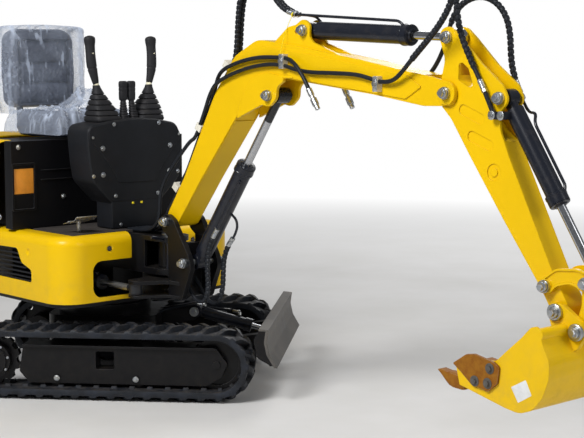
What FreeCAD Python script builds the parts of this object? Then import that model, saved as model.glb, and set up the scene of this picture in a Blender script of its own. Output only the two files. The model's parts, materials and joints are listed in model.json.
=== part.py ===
import FreeCAD, Part
import math
import os

# Mini excavator of the one-tonne class, in millimetres.
# Row frame: X forward along the tracks, Y to the left, Z up, origin on the ground under the slew centre.
# The upper structure and everything in front of it are drawn in their own frame, forward along X,
# and turned about the slew axis by SLEW as the machine stands.

V = FreeCAD.Vector
SLEW = -42.0

# Undercarriage
IDLER_X = 548.0
SPROCKET_X = -372.0
OVERALL_WIDTH = 930.0
TRACK_WIDTH = 180.0
TRACK_RADIUS = 151.0
LUG_HEIGHT = 21.0
BELT_THICKNESS = 24.0
LUG_COUNT = 38
LUG_REACH = 101.0
LUG_LEAN = 60.0
LUG_EDGE = 7.0
LUG_FOOT = 16.0
LUG_CROWN = 10.0
WHEEL_Z = TRACK_RADIUS
BELT_OUTER = TRACK_RADIUS - LUG_HEIGHT
BELT_INNER = BELT_OUTER - BELT_THICKNESS
WHEEL_RADIUS = BELT_INNER - 1.0
TRACK_Y = OVERALL_WIDTH / 2 - TRACK_WIDTH / 2
FRAME_HALF = 42.0
ROLLER_RADIUS = 39.0
ROLLER_X = (IDLER_X - 653.0, IDLER_X - 328.0)
CAR_TOP = 300.0
SLEW_TOP = 345.0
SLEW_RADIUS = 195.0

# Blade
BLADE_PIVOT = (335.0, 150.0)
BLADE_ARM_Y = 150.0
BLADE_CYL_BASE = (395.0, 297.0)
BLADE_CYL_EYE = (700.0, 218.0)

# Upper structure
BODY_HALF = 444.0
BODY_FRONT = 345.0
BOLT_DIMPLE = (213.0, 611.0)
SIDE_DIMPLE = (100.0, 594.0)
TAIL_RADIUS = 785.0
SKIRT_LOW = 400.0
DECK_Z = 670.0
SHEET = 6.0
COVER_FRONT = -70.0
COVER_TOP = 1035.0
COVER_ROUND = 45.0
SEAT_BOX_FRONT = -20.0
CONSOLE_FRONT = 245.0
CONSOLE_REAR = 90.0
SHIELD = 4.0
BOOT_BASE_Z = 1120.0
JOYSTICK_Y = 160.0
LEVER_Y = 28.0

# Swing bracket and front linkage, (x, z) in the boom's plane
SWING_X = 460.0
SWING_EYE_Y = -170.0
SWING_CYL_BASE = (-100.0, -170.0)
SWING_CYL_Z = 457.0
BOOM_FOOT = (540.0, 727.0)
BOOM_CYL_FOOT = (656.0, 572.0)
BOOM_CYL_EYE = (1136.0, 1238.0)
ARM_CYL_BASE = (1302.0, 1472.0)
ARM_PIVOT = (1993.0, 1263.0)
ARM_CYL_EYE = (1985.0, 1441.0)
BUCKET_CYL_BASE = (2203.0, 1251.0)
LINK_TOP = (2556.0, 712.0)
IDLER_PIN = (2404.0, 687.0)
BUCKET_PIN = (2453.0, 615.0)
LINK_LOW = (2532.0, 564.0)
PIN_R = 12.5
BOSS_R = 33.0
RUN = 0.3
BOOM_HALF = 54.0
BOOM_STEP = 4.0
PIVOT_BOSS = 38.0
PIVOT_OUT = 58.0
PRESSED = 3.0
SLOT_HALF = 17.0
ARM_HALF = 42.0
BUCKET_HALF = 192.0
BUCKET_SHEET = 8.0
CUTTER = 8.0
TOP_TUBE = (2484.0, 565.0)
TUBE_R = 19.0
EAR_INNER = 48.0
EAR_OUTER = 66.0
LONGEST_REACH = 0.48
ARC_SHARE = 0.45
HOSE_R = 7.5
PIPE_R = 5.0
PORT_R = 7.0

# Hoses and pipes
CLAMP_HALF = 14.0
CLAMPS_REAR = ((567, 864, 53.5), (715, 1106, 59.9), (884, 1346, 54))
CLAMPS_SIDE = ((1225, 1362), (1696, 1288))
HOSE_YS = (46, 27, 9)

# Routes chosen by hand, (x, z) up the back of the boom: one slack, the others close to it
SLACK_ROUTE = [(242, 669), (320, 670), (394, 678), (438, 706), (458, 752), (458, 800), (469, 846),
               (495, 890), (531, 930), (574, 974), (616, 1014), (660, 1052), (690, 1063), (708, 1094)]
CLOSE_ROUTE = [(242, 669), (322, 670), (396, 676), (444, 696), (472, 730), (491, 768), (524, 806),
               (567, 864), (609, 921), (643, 980), (679, 1044), (708, 1094)]

# Routes (x, y, z) on the right side, the left ones being their mirror images
TIP_HOSE = [(722, -46, 1118), (757, -48, 1178), (796, -58, 1236), (842, -68, 1276), (904, -68, 1303),
            (971, -68, 1323), (1039, -68, 1339), (1113, -68, 1349), (1180, -68, 1352), (1240, -68, 1346),
            (1300, -68, 1331), (1372, -68, 1324), (1464, -68, 1323), (1560, -68, 1321), (1628, -68, 1315),
            (1685, -68, 1301)]
AUX_HOSE = [(722, -27, 1118), (758, -27, 1182), (798, -34, 1250), (836, -52, 1298), (882, -68, 1327),
            (936, -68, 1347), (1000, -68, 1363), (1062, -68, 1373), (1128, -68, 1378), (1214, -68, 1376)]
CYLINDER_HOSE = [(722, 9, 1118), (760, 9, 1184), (802, 9, 1250), (840, 9, 1298), (872, 9, 1334),
                 (893, 9, 1376), (901, 9, 1434), (906, 9, 1510), (918, 10, 1592), (950, 10, 1650),
                 (1002, 10, 1674), (1054, 10, 1660), (1094, 10, 1618), (1130, 9, 1576), (1176, 9, 1544),
                 (1233, 9, 1529)]
FREE_HOSE = [(1236, -68, 1374), (1264, -72, 1370), (1293, -79, 1358), (1319, -84, 1341), (1343, -87, 1319),
             (1364, -88, 1294), (1382, -87, 1266)]
OVER_RIGHT = [(1707, -68, 1296), (1742, -70, 1294), (1786, -75, 1304), (1830, -83, 1334), (1890, -94, 1382),
              (1959, -108, 1431), (2028, -124, 1483), (2084, -138, 1545), (2110, -150, 1618),
              (2110, -150, 1674), (2085, -123, 1712), (2051, -85, 1712), (2027, -58, 1674),
              (2027, -58, 1618), (2034, -59, 1560), (2041, -59, 1500), (2056, -58, 1446), (2083, -57, 1391),
              (2117, -56, 1333), (2156, -56, 1268)]
OVER_LEFT = [(1707, 68, 1296), (1746, 66, 1292), (1792, 64, 1304), (1832, 62, 1336), (1868, 60, 1386),
             (1892, 60, 1438), (1908, 60, 1492), (1940, 60, 1540), (1990, 60, 1567), (2048, 58, 1572),
             (2104, 58, 1550), (2142, 59, 1506), (2158, 60, 1446), (2160, 61, 1380), (2171, 62, 1322),
             (2200, 62, 1264)]
BOOM_CYL_RIGHT = [(798, -28, 714), (770, -30, 676), (750, -32, 632), (742, -32, 584), (743, -32, 534),
                  (747, -32, 486), (738, -32, 444), (709, -31, 418), (672, -30, 420), (640, -30, 444),
                  (614, -30, 478), (588, -30, 504)]
BOOM_CYL_LEFT = [(824, 30, 677), (790, 30, 640), (768, 31, 592), (762, 32, 538), (760, 32, 482),
                 (744, 32, 432), (712, 31, 406), (674, 30, 410), (642, 30, 436), (614, 30, 472),
                 (588, 30, 500)]


def rounded(points, place):
    """Closed wire through (a, b, corner radius) points, corners rounded by tangent arcs.

    An arc takes at most LONGEST_REACH of the shorter run beside its corner.
    """
    corners = []
    count = len(points)
    for i in range(count):
        a, b, radius = points[i]
        before = points[i - 1]
        after = points[(i + 1) % count]
        p = V(a, b, 0)
        d1 = V(before[0], before[1], 0) - p
        d2 = V(after[0], after[1], 0) - p
        shorter = min(d1.Length, d2.Length)
        d1.normalize()
        d2.normalize()
        if radius == 0:
            corners.append((p, p, p))
            continue
        half = d1.getAngle(d2) / 2
        reach = min(radius / math.tan(half), LONGEST_REACH * shorter)
        radius = reach * math.tan(half)
        centre = p + (d1 + d2).normalize() * (radius / math.sin(half))
        middle = centre + (p - centre).normalize() * radius
        corners.append((p + d1 * reach, middle, p + d2 * reach))
    edges = []
    for i in range(count):
        start, middle, end = (place(c) for c in corners[i])
        following = place(corners[(i + 1) % count][0])
        if (start - end).Length > 1e-6:
            edges.append(Part.Arc(start, middle, end).toShape())
        if (following - end).Length > 1e-6:
            edges.append(Part.LineSegment(end, following).toShape())
    return Part.Wire(edges)


def plate_xz(points, y0, y1):
    """Plate with an outline in X and Z, from y0 to y1."""
    wire = rounded(points, lambda p: V(p.x, y0, p.y))
    return Part.Face(wire).extrude(V(0, y1 - y0, 0))


def plate_xy(points, z0, z1):
    wire = rounded(points, lambda p: V(p.x, p.y, z0))
    return Part.Face(wire).extrude(V(0, 0, z1 - z0))


def plate_yz(points, x0, x1):
    wire = rounded(points, lambda p: V(x0, p.x, p.y))
    return Part.Face(wire).extrude(V(x1 - x0, 0, 0))


def box(x0, x1, y0, y1, z0, z1):
    return Part.makeBox(x1 - x0, y1 - y0, z1 - z0, V(x0, y0, z0))


def round_y(x, z, radius, y0, y1):
    """Cylinder along Y."""
    return Part.makeCylinder(radius, y1 - y0, V(x, y0, z), V(0, 1, 0))


def round_z(x, y, radius, z0, z1):
    return Part.makeCylinder(radius, z1 - z0, V(x, y, z0), V(0, 0, 1))


def bar(p, q, radius):
    """Round bar between two points."""
    return Part.makeCylinder(radius, (q - p).Length, p, q - p)


def fuse(first, *others):
    return first.fuse(list(others)).removeSplitter()


def bends(points):
    """Tangent arcs at the inner points of a route, as (first, middle, last, radius), as large as can be."""
    route = [V(*p) for p in points]
    arcs = []
    for before, p, after in zip(route, route[1:], route[2:]):
        back = before - p
        ahead = after - p
        reach = ARC_SHARE * min(back.Length, ahead.Length)
        back.normalize()
        ahead.normalize()
        half = back.getAngle(ahead) / 2
        radius = reach * math.tan(half)
        centre = p + (back + ahead).normalize() * (radius / math.sin(half))
        middle = centre + (p - centre).normalize() * radius
        arcs.append((p + back * reach, middle, p + ahead * reach, radius))
    return arcs


def tube(points, radius):
    """Hose or pipe along straight runs joined by tangent arcs."""
    route = [V(*p) for p in points]
    edges = []
    start = route[0]
    for first, middle, last, _ in bends(points):
        edges.append(Part.LineSegment(start, first).toShape())
        edges.append(Part.Arc(first, middle, last).toShape())
        start = last
    edges.append(Part.LineSegment(start, route[-1]).toShape())
    section = Part.Wire([Part.Circle(route[0], route[1] - route[0], radius).toShape()])
    return Part.Wire(edges).makePipeShell([section], True, False)


def mirrored(points):
    """The same route on the other side of the machine's front."""
    return [(x, -y, z) for x, y, z in points]


def pin_heads(x, z, inner, outer, radius=PIN_R, head=20.0):
    """Two short pins, each through one plate, with its head outside."""
    parts = []
    for side in (-1, 1):
        y0, y1 = sorted((side * inner, side * outer))
        h0, h1 = sorted((side * outer, side * (outer + 10.0)))
        parts.append(fuse(round_y(x, z, radius, y0, y1), round_y(x, z, head, h0, h1)))
    return parts


def through_pin(x, z, outer, radius=PIN_R, head=20.0):
    """A pin through everything between two plates, with a head at each end."""
    return fuse(
        round_y(x, z, radius, -outer, outer),
        round_y(x, z, head, -outer - 10.0, -outer),
        round_y(x, z, head, outer, outer + 10.0),
    )


def place_upper(shape):
    """Turns a shape of the upper structure about the slew axis to where it stands."""
    turned = shape.copy()
    turned.rotate(V(0, 0, 0), V(0, 0, 1), SLEW)
    return turned


def save(node, *shapes, upper=False):
    solids = [s for shape in shapes for s in shape.Solids]
    if upper:
        solids = [place_upper(s) for s in solids]
    whole = solids[0] if len(solids) == 1 else Part.makeCompound(solids)
    bad = [s for s in solids if not s.isValid() or s.Volume <= 0]
    print("%-28s solids %d faces %d%s" % (node, len(solids), len(whole.Faces), " BAD" if bad else ""))
    whole.exportStep("parts/%s.step" % node)


def ram(base, eye, barrel, bore, closed, inside, width):
    """Hydraulic cylinder in the X-Z plane.

    Returns barrel and rod. barrel is the tube's radius, bore the rod's, closed the length from the
    base pin to the gland's end, inside the rod's length within the tube, width the eyes' half-width.
    """
    b = V(base[0], 0, base[1])
    e = V(eye[0], 0, eye[1])
    axis = (e - b).normalize()
    gland = b + axis * closed
    eye_r = BOSS_R - 4
    tube = bar(b + axis * (eye_r + 16), gland, barrel)
    neck = bar(b + axis * (eye_r - 8), b + axis * (eye_r + 18), width * 0.9)
    collar = bar(gland - axis * 30, gland, barrel + 4)
    body = fuse(tube, neck, collar, round_y(base[0], base[1], eye_r, -width, width))
    body = body.cut(round_y(base[0], base[1], PIN_R + RUN, -width, width))
    body = body.cut(bar(b + axis * (eye_r + 26), gland, bore + RUN))
    rod = fuse(bar(gland - axis * inside, e, bore), round_y(eye[0], eye[1], eye_r, -width, width))
    rod = rod.cut(round_y(eye[0], eye[1], PIN_R, -width, width))
    return body, rod


# Tracks: a belt loop with bars on it, the outer and inner halves half a pitch apart


def loop_point(s, radius):
    """Point at a distance s along the loop, on the offset radius, counted from under the sprocket."""
    run = IDLER_X - SPROCKET_X
    turn = math.pi * TRACK_RADIUS
    s = s % (2 * run + 2 * turn)
    if s < run:
        return SPROCKET_X + s, WHEEL_Z - radius
    if s < run + turn:
        angle = (s - run) / TRACK_RADIUS - math.pi / 2
        return IDLER_X + radius * math.cos(angle), WHEEL_Z + radius * math.sin(angle)
    if s < 2 * run + turn:
        return IDLER_X - (s - run - turn), WHEEL_Z + radius
    angle = (s - 2 * run - turn) / TRACK_RADIUS + math.pi / 2
    return SPROCKET_X + radius * math.cos(angle), WHEEL_Z + radius * math.sin(angle)


def stadium(radius, y0, y1):
    outline = [
        (SPROCKET_X - radius, WHEEL_Z - radius, radius - 0.001),
        (IDLER_X + radius, WHEEL_Z - radius, radius - 0.001),
        (IDLER_X + radius, WHEEL_Z + radius, radius - 0.001),
        (SPROCKET_X - radius, WHEEL_Z + radius, radius - 0.001),
    ]
    return plate_xz(outline, y0, y1)


def flat_faces(a, b, c, d):
    """One face through four points that lie in a plane, or else two triangles."""
    normal = (b - a).cross(c - a).normalize()
    if abs((d - a).dot(normal)) < 1e-6:
        return [Part.Face(Part.makePolygon([a, b, c, d, a]))]
    return [Part.Face(Part.makePolygon([a, b, c, a])), Part.Face(Part.makePolygon([a, c, d, a]))]


def lug(s, edge, inward):
    """One bar from the belt's edge to its middle, leaning along the loop and sloping down at the edge."""
    sections = []
    for share, top in ((0.0, BELT_OUTER + LUG_EDGE), (0.4, TRACK_RADIUS), (1.0, TRACK_RADIUS)):
        at = s + LUG_LEAN * (1 - share)
        y = edge + inward * LUG_REACH * share
        corners = [(at - LUG_FOOT, BELT_OUTER - 4), (at + LUG_FOOT, BELT_OUTER - 4), (at + LUG_CROWN, top),
                   (at - LUG_CROWN, top)]
        points = []
        for along, radius in corners:
            x, z = loop_point(along, radius)
            points.append(V(x, y, z))
        sections.append(points)
    faces = flat_faces(*sections[0]) + flat_faces(*sections[-1])
    for one, other in zip(sections, sections[1:]):
        for i in range(4):
            faces += flat_faces(one[i], one[i - 1], other[i - 1], other[i])
    solid = Part.makeSolid(Part.makeShell(faces))
    return solid if solid.Volume > 0 else solid.reversed()


def right_track():
    outer = -OVERALL_WIDTH / 2
    inner = outer + TRACK_WIDTH
    loop = stadium(BELT_OUTER, outer, inner).cut(stadium(BELT_INNER, outer, inner))
    length = 2 * (IDLER_X - SPROCKET_X) + 2 * math.pi * TRACK_RADIUS
    pitch = length / LUG_COUNT
    bars = []
    for i in range(LUG_COUNT):
        bars.append(lug(i * pitch, outer, 1))
        bars.append(lug((i + 0.5) * pitch, inner, -1))
    return loop.fuse(bars).removeSplitter()


def track_frame(side):
    """Side frame between the wheels: a box with a sloping nose, a flange on top and a window."""
    x0 = IDLER_X
    outline = [
        (x0 - 792, 220, 6),
        (x0 - 4, 220, 6),
        (x0 + 44, 154, 12),
        (x0 + 20, 100, 12),
        (x0 - 40, 62, 12),
        (x0 - 770, 62, 12),
        (x0 - 810, 110, 12),
    ]
    y_mid = side * TRACK_Y
    body = plate_xz(outline, y_mid - FRAME_HALF, y_mid + FRAME_HALF)
    flange = box(x0 - 792, x0 - 4, y_mid - FRAME_HALF - 16, y_mid + FRAME_HALF + 16, 212, 220)
    body = fuse(body, flange)
    window = [(x0 - 494, 122, 8), (x0 - 416, 122, 8), (x0 - 416, 196, 8), (x0 - 494, 196, 8)]
    body = body.cut(plate_xz(window, y_mid - 60, y_mid + 60))
    y0 = y_mid - 60
    y1 = y_mid + 60
    for x in ROLLER_X:
        body = body.cut(box(x - 50, x + 50, y_mid - 27, y_mid + 27, 40, 134))
        body = body.cut(round_y(x, ROLLER_RADIUS + 46, 8, y0, y1))
    idler_gap = 26
    body = body.cut(round_y(IDLER_X, WHEEL_Z, WHEEL_RADIUS + 8, y_mid - idler_gap, y_mid + idler_gap))
    body = body.cut(round_y(IDLER_X, WHEEL_Z, 15, y0, y1))
    return body.cut(round_y(SPROCKET_X, WHEEL_Z, WHEEL_RADIUS + 10, y0, y1))


def idler(side):
    y = side * TRACK_Y
    wheel = round_y(IDLER_X, WHEEL_Z, WHEEL_RADIUS, y - 22, y + 22)
    for face in (-22, 12):
        ring = round_y(IDLER_X, WHEEL_Z, WHEEL_RADIUS - 18, y + face, y + face + 10)
        ring = ring.cut(round_y(IDLER_X, WHEEL_Z, 34, y + face, y + face + 10))
        wheel = wheel.cut(ring)
    axle = round_y(IDLER_X, WHEEL_Z, 15, y - FRAME_HALF - 8, y + FRAME_HALF + 8)
    return fuse(wheel, axle)


def sprocket(side):
    """Toothed drive wheel: a disc with round-bottomed gaps between its teeth."""
    y = side * TRACK_Y
    disc = round_y(SPROCKET_X, WHEEL_Z, WHEEL_RADIUS, y - 15, y + 15)
    teeth = 11
    gaps = []
    for i in range(teeth):
        angle = 2 * math.pi * i / teeth
        x = SPROCKET_X + (WHEEL_RADIUS + 6) * math.cos(angle)
        z = WHEEL_Z + (WHEEL_RADIUS + 6) * math.sin(angle)
        gaps.append(round_y(x, z, 20, y - 16, y + 16))
    return disc.cut(gaps)


def travel_motor(side):
    """Hub cover outside the sprocket and the motor's body inside it, towards the machine's middle."""
    y = side * TRACK_Y
    out0, out1 = sorted((y + side * 15, y + side * 48))
    lip0, lip1 = sorted((y + side * 48, y + side * 60))
    in0, in1 = sorted((y - side * 15, y - side * 120))
    cover = fuse(
        round_y(SPROCKET_X, WHEEL_Z, 72, out0, out1),
        round_y(SPROCKET_X, WHEEL_Z, 58, lip0, lip1),
    )
    motor = round_y(SPROCKET_X, WHEEL_Z, 62, in0, in1)
    return cover, motor


def rollers(side):
    y = side * TRACK_Y
    made = []
    for x in ROLLER_X:
        z = ROLLER_RADIUS + 46
        made.append(fuse(
            round_y(x, z, ROLLER_RADIUS, y - 24, y + 24),
            round_y(x, z, 8, y - FRAME_HALF - 10, y + FRAME_HALF + 10),
        ))
    return made


def car_body():
    """Middle of the undercarriage: a deck under the slew ring and four legs to the side frames."""
    deck = plate_xy([(-210, -190, 60), (250, -190, 60), (250, 190, 60), (-210, 190, 60)], 170, CAR_TOP)
    deck = deck.fuse([
        box(x0, x1, -TRACK_Y + FRAME_HALF, TRACK_Y - FRAME_HALF, 110, 208)
        for x0, x1 in ((-170, -70), (110, 210))
    ])
    arms = []
    for y in (-BLADE_ARM_Y, BLADE_ARM_Y):
        for off in (-34, 22):
            arms.append(plate_xz([(230, 176, 0), (230, 230, 0), (330, 182, 20), (370, 160, 26),
                                  (360, 118, 26), (310, 116, 20)], y + off, y + off + 12))
    for off in (-36, 24):
        arms.append(plate_xz([(230, 230, 0), (230, CAR_TOP, 0), (395, 329, 28), (424, 290, 26),
                              (395, 262, 20)], off, off + 12))
    deck = deck.fuse(arms).removeSplitter()
    for y in (-BLADE_ARM_Y, BLADE_ARM_Y):
        deck = deck.cut(round_y(BLADE_PIVOT[0], BLADE_PIVOT[1], PIN_R, y - 40, y + 40))
    return deck.cut(round_y(BLADE_CYL_BASE[0], BLADE_CYL_BASE[1], PIN_R, -40, 40))


BLADE_BACK = [(724, 300, 0), (752, 300, 0), (745, 255, 40), (755, 205, 40), (782, 160, 0), (768, 160, 0),
              (735, 205, 30), (726, 260, 30)]
BLADE_FACE = [(722, 309, 4), (764, 305, 4), (757, 255, 40), (768, 205, 40), (798, 152, 0), (786, 152, 0),
              (755, 205, 40), (745, 255, 40), (752, 300, 0), (724, 300, 0)]


def blade_face():
    """Wear plate bent over the top of the blade and down its front."""
    half = OVERALL_WIDTH / 2
    return plate_xz(BLADE_FACE, -half, half)


def blade():
    """Blade frame: two arms, the back of the curved plate and end ribs."""
    half = OVERALL_WIDTH / 2
    parts = [plate_xz(BLADE_BACK, -half, half)]
    for y in (-BLADE_ARM_Y, BLADE_ARM_Y):
        parts.append(plate_xz([(306, 150, 28), (324, 176, 20), (420, 196, 30), (742, 238, 0), (748, 196, 0),
                               (430, 134, 40), (340, 122, 20)], y - 21, y + 21))
    for off in (-36, 24):
        parts.append(plate_xz([(742, 262, 0), (706, 246, 20), (676, 226, 24), (688, 190, 24), (748, 190, 0)],
                              off, off + 12))
    for y in (-half, half - 8):
        parts.append(plate_xz([(724, 300, 0), (745, 300, 0), (740, 205, 0), (775, 160, 0), (720, 190, 20),
                               (704, 262, 20)], y, y + 8))
    whole = parts[0].fuse(parts[1:]).removeSplitter()
    for y in (-BLADE_ARM_Y, BLADE_ARM_Y):
        whole = whole.cut(round_y(BLADE_PIVOT[0], BLADE_PIVOT[1], PIN_R + RUN, y - 40, y + 40))
    return whole.cut(round_y(BLADE_CYL_EYE[0], BLADE_CYL_EYE[1], PIN_R, -40, 40))


# Upper structure


def body_plan(inset, front, z0, z1):
    """Plan of the machine's body: straight sides, rounded front corners and an arc at the tail."""
    half = BODY_HALF - inset
    radius = TAIL_RADIUS - inset
    start = -math.sqrt(radius ** 2 - half ** 2)
    corner = 110 - inset
    f = front - inset
    edges = [
        Part.LineSegment(V(start, -half, z0), V(f - corner, -half, z0)).toShape(),
        Part.Arc(V(f - corner, -half, z0), V(f - corner * 0.2929, -half + corner * 0.2929, z0),
                 V(f, -half + corner, z0)).toShape(),
        Part.LineSegment(V(f, -half + corner, z0), V(f, half - corner, z0)).toShape(),
        Part.Arc(V(f, half - corner, z0), V(f - corner * 0.2929, half - corner * 0.2929, z0),
                 V(f - corner, half, z0)).toShape(),
        Part.LineSegment(V(f - corner, half, z0), V(start, half, z0)).toShape(),
        Part.Arc(V(start, half, z0), V(-radius, 0, z0), V(start, -half, z0)).toShape(),
    ]
    return Part.Face(Part.Wire(edges)).extrude(V(0, 0, z1 - z0))


def top_edges(solid, z):
    return [e for e in solid.Edges if all(abs(v.Z - z) < 0.01 for v in e.Vertexes)]


def shell(z0, z1, bevel):
    """Sheet shell open below, with a rounded edge all round its top."""
    outer = body_plan(0, BODY_FRONT, z0, z1)
    outer = outer.makeFillet(bevel, top_edges(outer, z1))
    inner = body_plan(SHEET, BODY_FRONT, z0 - 1, z1 - SHEET)
    inner = inner.makeFillet(bevel - SHEET + 0.5, top_edges(inner, z1 - SHEET))
    return outer.cut(inner)


def skirts():
    """Front and side covers of the deck, right and left, with their openings."""
    ring = shell(SKIRT_LOW, DECK_Z, 40)
    ring = ring.cut(box(-900, -330, -500, 500, 0, 900))
    ring = ring.cut(box(-900, 300, -360, 360, 600, 900))
    ring = ring.cut(box(200, 400, -106, 106, 0, 900))
    ring = ring.cut(plate_yz([(-296, 417, 42), (-296, 565, 42), (0, 565, 0), (0, 417, 0)], 250, 400))
    vent = [(-300, 473, 20), (123, 471, 10), (124, 522, 20), (50, 546, 30), (17, 603, 20), (-300, 597, 20)]
    ring = ring.cut(plate_xz(vent, -500, -400))
    for y in (-BOLT_DIMPLE[0], BOLT_DIMPLE[0]):
        ring = ring.cut(Part.makeCone(8, 17, 5, V(BODY_FRONT - 5, y, BOLT_DIMPLE[1]), V(1, 0, 0)))
    for side in (-1, 1):
        ring = ring.cut(Part.makeCone(6, 15, 5, V(SIDE_DIMPLE[0], side * (BODY_HALF - 5), SIDE_DIMPLE[1]),
                                      V(0, side, 0)))
    right = ring.common(box(-900, 400, -500, 0, 0, 900))
    left = ring.common(box(-900, 400, 0, 500, 0, 900))
    return right, left


def vent_grille():
    """Black grille behind the opening of the right cover: a frame with slats."""
    y = -BODY_HALF + SHEET + 1
    outline = [(-314, 459, 20), (137, 457, 12), (138, 530, 20), (58, 558, 30), (24, 617, 20), (-314, 611, 20)]
    inner = [(-294, 479, 16), (117, 477, 10), (118, 516, 16), (44, 540, 26), (12, 597, 16), (-294, 591, 16)]
    frame = plate_xz(outline, y, y + 8).cut(plate_xz(inner, y - 1, y + 9))
    slats = []
    for i in range(6):
        z = 486 + i * 18
        end = 122 if z < 516 else 60 - (z - 540) * 0.5
        slat = box(-300, end, y + 1, y + 7, z, z + 6)
        slats.append(slat)
    return frame.fuse(slats).removeSplitter()


def upper_frame():
    """Frame on the slew ring: bottom plate, box beam and the two-plate nose that holds the bracket."""
    floor = body_plan(SHEET + 2, BODY_FRONT, 385, SKIRT_LOW)
    ring = round_z(0, 0, SLEW_RADIUS - 12, SLEW_TOP + 2, 385)
    beam = box(-350, 170, -76, 76, SKIRT_LOW, 640)
    beam = beam.cut(box(-350, 150, -68, 68, SKIRT_LOW + 8, 632))
    nose_web = box(150, 392, -76, 76, 530, 640).cut(box(240, 400, -64, 64, 529, 641))
    plates = []
    for z0, z1 in ((505, 530), (640, 660)):
        plates.append(plate_xy([(150, -76, 0), (SWING_X + 76, -76, 75.9), (SWING_X + 76, 76, 75.9),
                                (150, 76, 0)], z0, z1))
    ears = []
    for z0, z1 in ((SWING_CYL_Z - 42, SWING_CYL_Z - 30), (SWING_CYL_Z + 30, SWING_CYL_Z + 42)):
        x, y = SWING_CYL_BASE
        ears.append(plate_xy([(x - 30, y - 30, 20), (x + 34, y - 30, 20), (x + 34, y + 100, 0),
                              (x - 30, y + 100, 0)], z0, z1))
    whole = floor.fuse([ring, beam, nose_web] + plates + ears).removeSplitter()
    whole = whole.cut(round_z(SWING_X, 0, 22 + RUN, 400, 700))
    return whole.cut(round_z(SWING_CYL_BASE[0], SWING_CYL_BASE[1], PIN_R, 400, 520))


def swing_pin():
    return fuse(round_z(SWING_X, 0, 22, 500, 662), round_z(SWING_X, 0, 32, 660.3, 668))


def counterweight():
    ring = body_plan(0, BODY_FRONT, SKIRT_LOW, DECK_Z - 4)
    inner = box(-600, 900, -500, 500, 0, 900)
    return ring.cut(inner)


def engine_cover():
    """Rear bodywork: the hood over the engine with its two side panels reaching forward."""
    cover = body_plan(0, COVER_FRONT, DECK_Z, COVER_TOP).common(box(-900, COVER_FRONT, -500, 500, 0, 1200))
    rim = [e for e in top_edges(cover, COVER_TOP) if e.CenterOfMass.x < COVER_FRONT - 1]
    cover = cover.makeFillet(COVER_ROUND, rim)
    inner = body_plan(SHEET, COVER_FRONT + 200, DECK_Z - 1, COVER_TOP - SHEET)
    inner = inner.makeFillet(COVER_ROUND - SHEET + 0.5, top_edges(inner, COVER_TOP - SHEET))
    cover = cover.cut(inner)
    cover = cover.cut(box(-440, 400, -380, 380, COVER_TOP - 60, 1200))
    louvres = [box(-800, -600, y, y + 90, 760 + i * 26, 768 + i * 26) for i in range(6) for y in (-300, 210)]
    return cover.cut(louvres)


def seat_box():
    """Black box under the seat, with a raised frame on its front."""
    body = box(-360, SEAT_BOX_FRONT - 50, -378, 378, DECK_Z + 4, 1028)
    front = box(SEAT_BOX_FRONT - 50, SEAT_BOX_FRONT, -BODY_HALF + 4, BODY_HALF - 4, DECK_Z + 4, COVER_TOP)
    frame = plate_yz([(-440, 944, 10), (-328, 944, 10), (-328, 748, 10), (-440, 748, 10)],
                     SEAT_BOX_FRONT, SEAT_BOX_FRONT + 8)
    frame = frame.cut(plate_yz([(-432, 936, 6), (-336, 936, 6), (-336, 756, 6), (-432, 756, 6)],
                               SEAT_BOX_FRONT, SEAT_BOX_FRONT + 8))
    return fuse(body, front, frame)


def console():
    """Control console: a wide rounded head on a narrow pedestal, with a raised shield on the head's front."""
    head = [(-242, 1100, 42), (-124, 1117, 200), (16, 1128, 300), (111, 1120, 200), (208, 1102, 50),
            (238, 1042, 60), (234, 925, 60), (222, 872, 50), (125, 780, 0), (-127, 780, 0),
            (-218, 872, 50), (-232, 945, 90), (-240, 1025, 90)]
    shield = [(-236, 1094, 38), (-124, 1112, 200), (16, 1123, 300), (111, 1115, 200), (203, 1097, 46),
              (232, 1044, 20), (168, 972, 60), (112, 899, 40), (96, 861, 14), (-91, 863, 14),
              (-109, 899, 40), (-163, 972, 60), (-233, 1048, 20)]
    body = plate_yz(head, CONSOLE_REAR, CONSOLE_FRONT - SHIELD)
    raised = plate_yz(shield, CONSOLE_FRONT - SHIELD, CONSOLE_FRONT)
    pedestal = plate_yz([(-127, DECK_Z + 8, 0), (123, DECK_Z + 8, 0), (125, 800, 0), (-127, 800, 0)],
                        CONSOLE_REAR + 40, CONSOLE_FRONT - SHIELD)
    return fuse(body, raised, pedestal)


def boots():
    """Ribbed rubber boots of the two joysticks: stacks of shrinking rounded rings."""
    made = []
    for side in (-1, 1):
        y = side * 117
        steps = []
        for i in range(6):
            r = 80 - i * 10
            z = BOOT_BASE_Z - 22 + i * 22
            steps.append(Part.makeCone(r, r - 8, 22, V(150, y + side * i * 3, z), V(0, 0, 1)))
        made.append(steps[0].fuse(steps[1:]).removeSplitter())
    return made


def joysticks():
    made = []
    for side in (-1, 1):
        low = V(150, side * 132, BOOT_BASE_Z + 108)
        knee = V(146, side * 136, 1285)
        top = V(134, side * JOYSTICK_Y, 1440)
        grip = fuse(bar(low, knee, 10), bar(knee - (knee - low).normalize() * 4, top, 20))
        made.append(fuse(grip, Part.makeSphere(24, top)))
    return made


def travel_levers():
    made = []
    for side in (-1, 1):
        y = side * LEVER_Y
        made.append(fuse(
            box(172, 186, y - 7, y + 7, 1110, 1220),
            plate_yz([(y - 20, 1210, 8), (y + 20, 1210, 8), (y + 22, 1278, 10), (y - 22, 1278, 10)],
                     166, 192),
        ))
    return made


def pedal():
    """Folding foot pedal on the right of the floor."""
    plate = box(190, 270, -330, -235, DECK_Z + 26, DECK_Z + 32)
    return fuse(plate, box(222, 236, -290, -276, DECK_Z + 8, DECK_Z + 28))


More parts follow.
